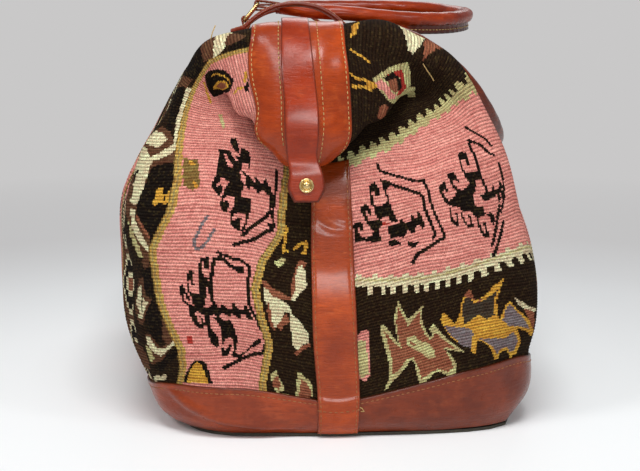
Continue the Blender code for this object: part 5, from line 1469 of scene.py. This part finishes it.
def edgePlaces(side, y, half, far):
    # girth places of both edges of a strip that crosses the mouth y from its middle
    us = [uAtY(side, -y - half), uAtY(side, -y + half)]
    if far:
        us = [bag["girthEnd"] - u for u in us]
    return sorted(us, key=lambda u: innerPoint(side, u, 335.0)[1])


def flatStations(side, us, vs):
    # stations of a strip that lies on the bag between two girth places
    stations = []
    for v in vs:
        (a, na), (b, nb) = (laid(side, np.array([u]), v, bag["overCloth"]) for u in us)
        stations.append((a[0], b[0], unit(na[0] + nb[0])))
    return stations


def makeRingLoop(name, side, far, low):
    us = edgePlaces(side, ringPlaces[side] * 0.001, ringSizes["loopWidth"] / 2, far)
    v = welt["bottom"] - loopFoot["inset"]
    p, below = (laid(side, np.sort(us), at, bag["cloth"])[0].mean(axis=0)
                for at in (v, v - loopFoot["slope"]))
    w = alongMouth
    e = unit(p - below - w * ((p - below) @ w))
    n = upward(np.cross(e, w))
    rise = float((np.array(low) - p) @ n)
    t = ringSizes["loopThickness"]
    base = bag["seat"] + t / 2
    lowest = min(rise, base + loopMiddle + 0.0002)
    curl = [(loopFoot["curl"], base)] + [(a, lowest + b) for a, b in arcPoints(loopMiddle, -90, 0, 6)]
    if rise - lowest > 0.0005:
        curl += [(a, rise + b) for a, b in arcPoints(loopMiddle, 0, 180, 14)]
        curl += [(-loopMiddle, base + t + 2 * bag["seat"])]
    else:
        curl += [(a, lowest + b) for a, b in arcPoints(loopMiddle, 12, 205, 15)]
    stations = flatStations(side, us, np.linspace(v - loopFoot["length"], v - loopFoot["stop"], 8)) \
        + pathStations(curl, p, e, n, w, ringSizes["loopWidth"], t)
    ob = makeStrip("ringLoop" + name, stations, t, leathers["cognacLeather"], 90, ringSizes["loopSeams"],
                   0.0007, straight=True, sewTo=0.6)
    standIn(ob, "bag")


def makeRing(name, side, low, high):
    low, reach = np.array(low), unit(np.array(high) - np.array(low))
    bar, c = ringSizes["bar"], ringSizes["corner"]
    half = (ringSizes["loopWidth"] + 2 * (bar + ringSizes["clearance"])) / 2 - bar / 2
    h = ringSizes["height"] - bar
    outline = []
    for x, y, turn in ((half - c, h - c, 0), (c - half, h - c, 90), (c - half, c, 180), (half - c, c, 270)):
        outline += arcPoints(c, turn, turn + 90, 8, (x, y))
    points = [low + alongMouth * a + reach * b for a, b in outline]
    ob = grown("ring" + name, [points], ringTube, True, Radius=bar / 2)
    standIn(ob, sideName[side].lower() + "_rings")


def makeHandleEnd(name, side, high):
    # the flat end of the handle, folded round the ring's upper bar
    reach, m, t = ringSizes["endReach"], loopMiddle, ringSizes["loopThickness"]
    e = unit(np.array((reach, 0, endFall[name])))
    n = upward(unit(np.cross(e, alongMouth)))
    fold = [(reach, m * 0.92), (reach / 2, m), *arcPoints(m, 90, 270, 16), (reach / 2, -m),
            (reach, -m * 0.92)]
    body = sideName[side].lower() + "_handle_body"
    stations = pathStations(fold, np.array(high), e, n, alongMouth, ringSizes["loopWidth"], t)
    ob = makeStrip("handleEnd" + name, stations, t, leathers["cognacLeather"], 80, ringSizes["loopSeams"],
                   0.0007, body, straight=True, sewTo=0.3)
    standIn(ob, body)


ringTube = tubeTree(brass)
for name, (low, high) in ringBars.items():
    side, far = -1 if name.startswith("Left") else 1, name.endswith("Far")
    makeRingLoop(name, side, far, low)
    makeRing(name, side, low, high)
    makeHandleEnd(name, side, high)

handle = {"radius": 0.0065, "flange": 0.007, "flangeThick": 0.0036, "leftReach": 0.2075, "leftDrop": 0.0085,
          "rightReach": 0.143, "rightDrop": 0.113, "tab": 0.0203, "flangeReach": 0.122, "flangeRise": 0.022,
          "rings": 220, "flatOver": 0.016, "flatWider": 0.28, "flatThinner": 0.55,
          "rightAim": (0.06, 0, -0.03)}        # from the right rings to where that handle's flange points
# each arm of a handle, in metres from its ring's upper bar: outwards, towards the middle, up
tab = handle["tab"]
leftNearArm = ((tab, 0.0, -0.0026), (0.048, 0.0, -0.0065), (0.085, 0.001, -0.0090), (0.120, 0.006, -0.0125),
               (0.152, 0.016, -0.0145), (0.180, 0.036, -0.0145), (0.199, 0.064, -0.0130))
leftFarArm = ((tab, 0.0, 0.0003), (0.048, 0.0, 0.0008), (0.085, 0.001, 0.0010), (0.120, 0.006, 0.0010),
              (0.152, 0.016, 0.0005), (0.180, 0.036, -0.0010), (0.199, 0.064, -0.0040))
rightArm = ((tab, 0.0, -0.0035), (0.042, 0.0, -0.0100), (0.070, 0.001, -0.0260), (0.097, 0.007, -0.0500),
            (0.118, 0.025, -0.0770), (0.134, 0.060, -0.1000))


def makeHandle(name, near, far, nearArm, farArm, middle, flangeDirection, flangeShare, hide):
    # a round roll of leather whose sewn flange fades out towards both ends
    points = [near + p for p in np.array(nearArm)] + [0.5 * (near + far) + middle]
    points += [far + p * (1, -1, 1) for p in np.array(farArm)[::-1]]
    count = handle["rings"]
    path = evenPath(points, count)
    tangent = unit(np.gradient(path, axis=0))
    down = np.array([flangeDirection(p) for p in path], float)
    down = unit(down - tangent * np.sum(down * tangent, axis=1, keepdims=True))
    side = np.cross(tangent, down)
    along = runLength(path)
    share = np.array([flangeShare(s, p) for s, p in zip(np.linspace(0, 1, count), path)])
    r, half = handle["radius"], handle["flangeThick"] / 2
    root = math.asin(half / r)
    turns = np.linspace(math.pi / 2 + root, math.pi / 2 + 2 * math.pi - root, 29)
    fromFlange = (turns - math.pi / 2 + math.pi) % (2 * math.pi) - math.pi
    flat = 1 - smooth(np.minimum(along, along[-1] - along), 0.0, handle["flatOver"])
    rows = []
    for k in range(count):
        depth = handle["flange"] * share[k] + 0.0004
        bump = 0.00035 * math.sin(along[k] * 900 + 2 * math.sin(along[k] * 130)) * (0.35 + share[k]) \
            + 0.0003 * math.sin(along[k] * 210 + 1)
        wave = 0.0005 * share[k] * math.sin(along[k] * 760 + 1.3)
        section = [(-s + wave * d, r + depth * d)
                   for s, d in ((-half + 0.0003, 0.55), (-half, 0.94), (-half * 0.6, 1.0), (half * 0.6, 1.0),
                                (half, 0.94), (half - 0.0003, 0.55))]
        wide, thin = 1 + handle["flatWider"] * flat[k], 1 - handle["flatThinner"] * flat[k]
        for t, away in zip(turns, fromFlange):
            rr = r + bump * math.exp(-(away / 1.1) ** 2) + 0.00012 * math.sin(3 * t + along[k] * 260)
            section.append((rr * math.cos(t) * wide, rr * math.sin(t) * thin))
        rows.append([path[k] + side[k] * a + down[k] * b for a, b in section])
    points = np.array(rows)
    na, nb = points.shape[:2]
    faces = ringFaces(na, nb).tolist() + [tuple(range(nb)), tuple(range((na - 1) * nb, na * nb))]
    ob = newObject(name, points.reshape(-1, 3), faces, leathers[hide])
    faceOut(ob)
    # painted shade over the flange and in the fold under the roll; the flange's cut edges are burnished dark
    # as well
    plain = 1 - share[:, None]
    rim = np.ones((na, nb))
    rim[:, 1:5] = plain * 0.9
    rim[:, [0, 5]] = 0.05 + plain * 0.9
    rim[:, 6:] = (1 - 0.98 * np.exp(-(fromFlange / 1.5) ** 2))[None, :] * share[:, None] + plain
    setFloats(ob, "rim", rim.ravel())
    uv = np.zeros((na, nb, 2))
    uv[..., 0] = along[:, None]
    uv[..., 1] = np.linspace(0, 0.05, nb)[None, :]
    setUv(ob, uv.reshape(-1, 2))
    body = "left_handle_body" if name == "leftHandle" else "right_handle_body"
    standIn(ob, body)
    keep = np.flatnonzero(share > 0.6)
    for s in (-1, 1):
        line = path[keep] + side[keep] * (s * (half + 0.0001)) + down[keep] * (r + handle["flange"] * 0.5)
        sewn(body, "paleThread", line, side[keep] * s)


upperBar = {name: np.array(bars[1]) for name, bars in ringBars.items()}
flangeStart = upperBar["LeftNear"][0] + handle["flangeReach"]
makeHandle("leftHandle", upperBar["LeftNear"], upperBar["LeftFar"], leftNearArm, leftFarArm,
           (handle["leftReach"], 0, -handle["leftDrop"]), lambda p: (0, 0, -1),
           lambda f, p: float(smooth(p[0], flangeStart, flangeStart + handle["flangeRise"])), "handleLeather")
middleRight = 0.5 * (upperBar["RightNear"] + upperBar["RightFar"]) + handle["rightAim"]
# the right handle takes the darker copy of the handle leather: painted shade
makeHandle("rightHandle", upperBar["RightNear"], upperBar["RightFar"], rightArm, rightArm,
           (handle["rightReach"], 0, -handle["rightDrop"]), lambda p: middleRight - p,
           lambda f, p: float(smooth(f, 0.12, 0.2) * (1 - smooth(f, 0.8, 0.88))), "handleShadeLeather")
print("rings and handles hung")

# its gap in mm starts at the edge of the right half's ring loop
closing = {"width": 18.0, "foot": 12.0, "rise": 0.020, "inset": 6.0, "thickness": 0.0035, "loopHalf": 11.0,
           "gap": 13.0, "bend": 2.3, "seams": (2.4, -2.4)}


def makeClosingStrap(far):
    half = closing["width"] / 2
    y = ringPlaces[1] + closing["loopHalf"] + closing["gap"] + half
    outerV = welt["bottom"] - closing["inset"]
    start, end = (flatStations(side, edgePlaces(side, 0.001 * y, 0.001 * half, far),
                               np.linspace(outerV - closing["foot"], outerV, 5)) for side in (-1, 1))
    end = end[::-1]
    (a0, a1, _), (b0, b1, _) = start[-1], end[0]
    rise, bend = closing["rise"], closing["bend"]
    arch = []
    for f in np.linspace(0, 1, 31)[1:-1]:
        x = 0.25 * (1 - math.cos(math.pi * f)) + 0.5 * f
        off = abs(2 * x - 1)
        slope = rise * bend * off ** (bend - 1) * (1 if x < 0.5 else -1) * 2
        t = unit(np.array((b0[0] - a0[0], 0, slope)))
        up = aboveMouth * rise * (1 - off ** bend)
        arch.append((a0 + (b0 - a0) * x + up, a1 + (b1 - a1) * x + up, np.cross(t, alongMouth)))
    ob = makeStrip("closingStrap" + endName[far], start + arch + end, closing["thickness"],
                   leathers["darkCognacLeather"], 140, closing["seams"], 0.0012, straight=True)
    standIn(ob, "bag")


for far in (False, True):
    makeClosingStrap(far)

zipSizes = {"start": 188.0, "tape": (366.0, 382.6), "low": -0.0011, "high": -0.0003, "drop": 0.0007}
toothSizes = {"Length": 0.37, "Pitch": 0.0025, "Width": 0.0034, "Height": 0.0024}


def makeZipTape(side):
    start, (inner, outer) = zipSizes["start"], zipSizes["tape"]
    us = np.linspace(start, bag["girthEnd"] - start, 190)
    marks = np.linspace(0, outer - inner, 9)
    u, v = np.meshgrid(us, inner + marks, indexing="ij")
    base, n = laid(side, u, v, 0.0)
    ob = bandMesh("zipTape" + sideName[side], base, n, zipSizes["low"], zipSizes["high"], marks * 0.001,
                  us * 0.001, tapeCloth, 0.0003)
    standIn(ob, "bag")


for side in (1, -1):
    makeZipTape(side)
teethMade = grown("zipTeeth", [[(0, 0, 0), (0, 0.001, 0)]], toothTree(zipBrass, toothSizes), **toothSizes)
onMouth = Matrix(((1, 0, 0), (0, alongMouth[1], aboveMouth[1]), (0, alongMouth[2], aboveMouth[2]))).to_4x4()
teethMade.data.transform(Matrix.Translation(mouthMiddle - aboveMouth * zipSizes["drop"]) @ onMouth)
dress(teethMade, "bag", "zip_chain")
print("zip closed")

stitchSizes = {"paleThread": {"Pitch": 0.0041, "Length": 0.0031, "Width": 0.0009},
               "brownThread": {"Pitch": 0.0044, "Length": 0.0033, "Width": 0.0009}}
threadTrees = {thread: stitchTree(threads[thread], sizes) for thread, sizes in stitchSizes.items()}
for (body, thread), runs in sorted(threadRuns.items()):
    ups = np.concatenate([up for _, up in runs])
    ob = grown("stitches_%s_%s" % (body, thread), [points for points, _ in runs], threadTrees[thread],
               ups=ups, **stitchSizes[thread])
    dress(ob, body)

# yarn ends that hang loose: half of the bag, then places along, up and mm off the bag
looseThreads = ((1, (140, 277, 4.0), (137, 271, 5.4), (135, 266, 4.4), (132, 261, 4.2)),
                (-1, (158, 311, 3.0), (157, 315, 8.0), (160, 319, 12.0)),
                (1, (16, -7, 6.1), (19, -9, 7.0), (21, -13, 6.2), (18, -12, 6.6)))
yarnRuns = [[laid(side, np.array([u]), v, 0.001 * off)[0][0] for u, v, off in places]
            for side, *places in looseThreads]
dress(grown("looseThreads", yarnRuns, tubeTree(threads["paleThread"]), Radius=0.00045), "bag")

# the CAD nodes that show as they are
for node, material in (("sole", soleLeather), ("base_board", boardStock), ("stud_socket_near", brass),
                       ("stud_socket_far", brass), ("zip_slider", zipBrass), ("zip_pull", zipBrass)):
    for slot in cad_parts[node].material_slots:
        slot.material = material
print("stitched")


studio = {
    "lens": 79.65,
    "camera": (-0.0761, -1.4154, 0.3725),
    "turn": -3.0,              # degrees round the bag
    "tilt": 9.64,              # degrees down
    "world": 0.30,
    "worldTint": (0.93, 0.94, 0.96, 1),
    "wall": (201, 200, 200),
    "floor": (244, 247, 248),
    "far": (213, 212, 212),
    "floorDepth": -0.0002,
    "floorRings": (0.4, 0.8, 1.6, 3.0, 6.0, 12.0, 30.0),
    "pales": (0.30, 0.85),     # metres from the bag over which the floor goes from near to far
    "fades": (0.5, 1.6),       # and over which it becomes the wall
}
# each lamp: place, aim, size and power in watts
lamps = {
    "softTop": ((-0.05, -1.08, 1.65), (0, -0.1, 0.15), (0.85, 0.45), 21),
    "softLeft": ((-1.25, -1.15, 1.5), (0, -0.1, 0.15), (0.5, 0.5), 10),
    "softFront": ((0.1, -2.3, 0.46), (0, -0.1, 0.15), (0.42, 0.2), 8.5),
    "softRight": ((1.35, -1.3, 1.4), (0, -0.1, 0.15), (0.34, 0.34), 5),
    "softBack": ((0.3, 1.7, 1.5), (0, 0.1, 0.15), (1.4, 1.0), 10),
}


def placeObject(name, data, place, ahead):
    ob = bpy.data.objects.new(name, data)
    scene.collection.objects.link(ob)
    ob.location = place
    ob.rotation_euler = ahead.to_track_quat("-Z", "Y").to_euler()
    return ob


def makeCamera():
    data = bpy.data.cameras.new("camera")
    data.lens = studio["lens"]
    data.sensor_width = 36.0
    turn, tilt = math.radians(studio["turn"]), math.radians(studio["tilt"])
    ahead = Vector((-math.sin(turn) * math.cos(tilt), math.cos(turn) * math.cos(tilt), -math.sin(tilt)))
    scene.camera = placeObject("camera", data, studio["camera"], ahead)


def makeStage(count=64):
    # round floor, painted paler near the bag as a pool of light, that far away glows with the wall's grey,
    # from every side
    turns = np.linspace(0, 2 * math.pi, count, endpoint=False)
    radii, depth = studio["floorRings"], studio["floorDepth"]
    verts = [(0.0, 0.0, depth)] + [(r * math.cos(t), r * math.sin(t), depth) for r in radii for t in turns]
    faces = [(0, 1 + k, 1 + (k + 1) % count) for k in range(count)]
    for ring in range(len(radii) - 1):
        a, b = 1 + ring * count, 1 + (ring + 1) * count
        faces += [(a + k, b + k, b + (k + 1) % count, a + (k + 1) % count) for k in range(count)]
    material, tree, shader, place = shaderOf("paperFloor")
    reach = put(tree, "ShaderNodeVectorMath", {0: place}, operation="LENGTH").outputs["Value"]
    # painted pool of light: the floor colour is paler near the bag and greyer further off
    tone = mixed(tree, ramp(tree, reach, *studio["pales"]), rgba(studio["floor"]), rgba(studio["far"]))
    feed(tree, shader, {"Base Color": tone, "Roughness": 0.9, "Specular IOR Level": 0.1})
    glow = out(tree, "ShaderNodeEmission", {"Color": rgba(studio["wall"]), "Strength": 1.0})
    both = out(tree, "ShaderNodeMixShader",
               {0: ramp(tree, reach, *studio["fades"]), 1: shader.outputs[0], 2: glow})
    feed(tree, tree.nodes["Material Output"], {"Surface": both})
    newObject("paperFloor", verts, faces, material)


def makeWorld():
    world = bpy.data.worlds.new("studio")
    world.use_nodes = True
    tree = world.node_tree
    fill = tree.nodes["Background"]
    feed(tree, fill, {0: studio["worldTint"], 1: studio["world"]})
    wall = out(tree, "ShaderNodeBackground", {"Color": rgba(studio["wall"]), "Strength": 1.0})
    seen = put(tree, "ShaderNodeLightPath").outputs["Is Camera Ray"]
    both = out(tree, "ShaderNodeMixShader", {0: seen, 1: fill.outputs[0], 2: wall})
    feed(tree, tree.nodes["World Output"], {"Surface": both})
    scene.world = world


def makeLamp(name, place, aim, size, power):
    data = bpy.data.lights.new(name, "AREA")
    data.shape = "RECTANGLE"
    data.size, data.size_y = size
    data.energy = power
    placeObject(name, data, place, Vector(aim) - Vector(place))


makeCamera()
makeStage()
for name, settings in lamps.items():
    makeLamp(name, *settings)
makeWorld()
scene.view_settings.view_transform = "Standard"
print("stage set")
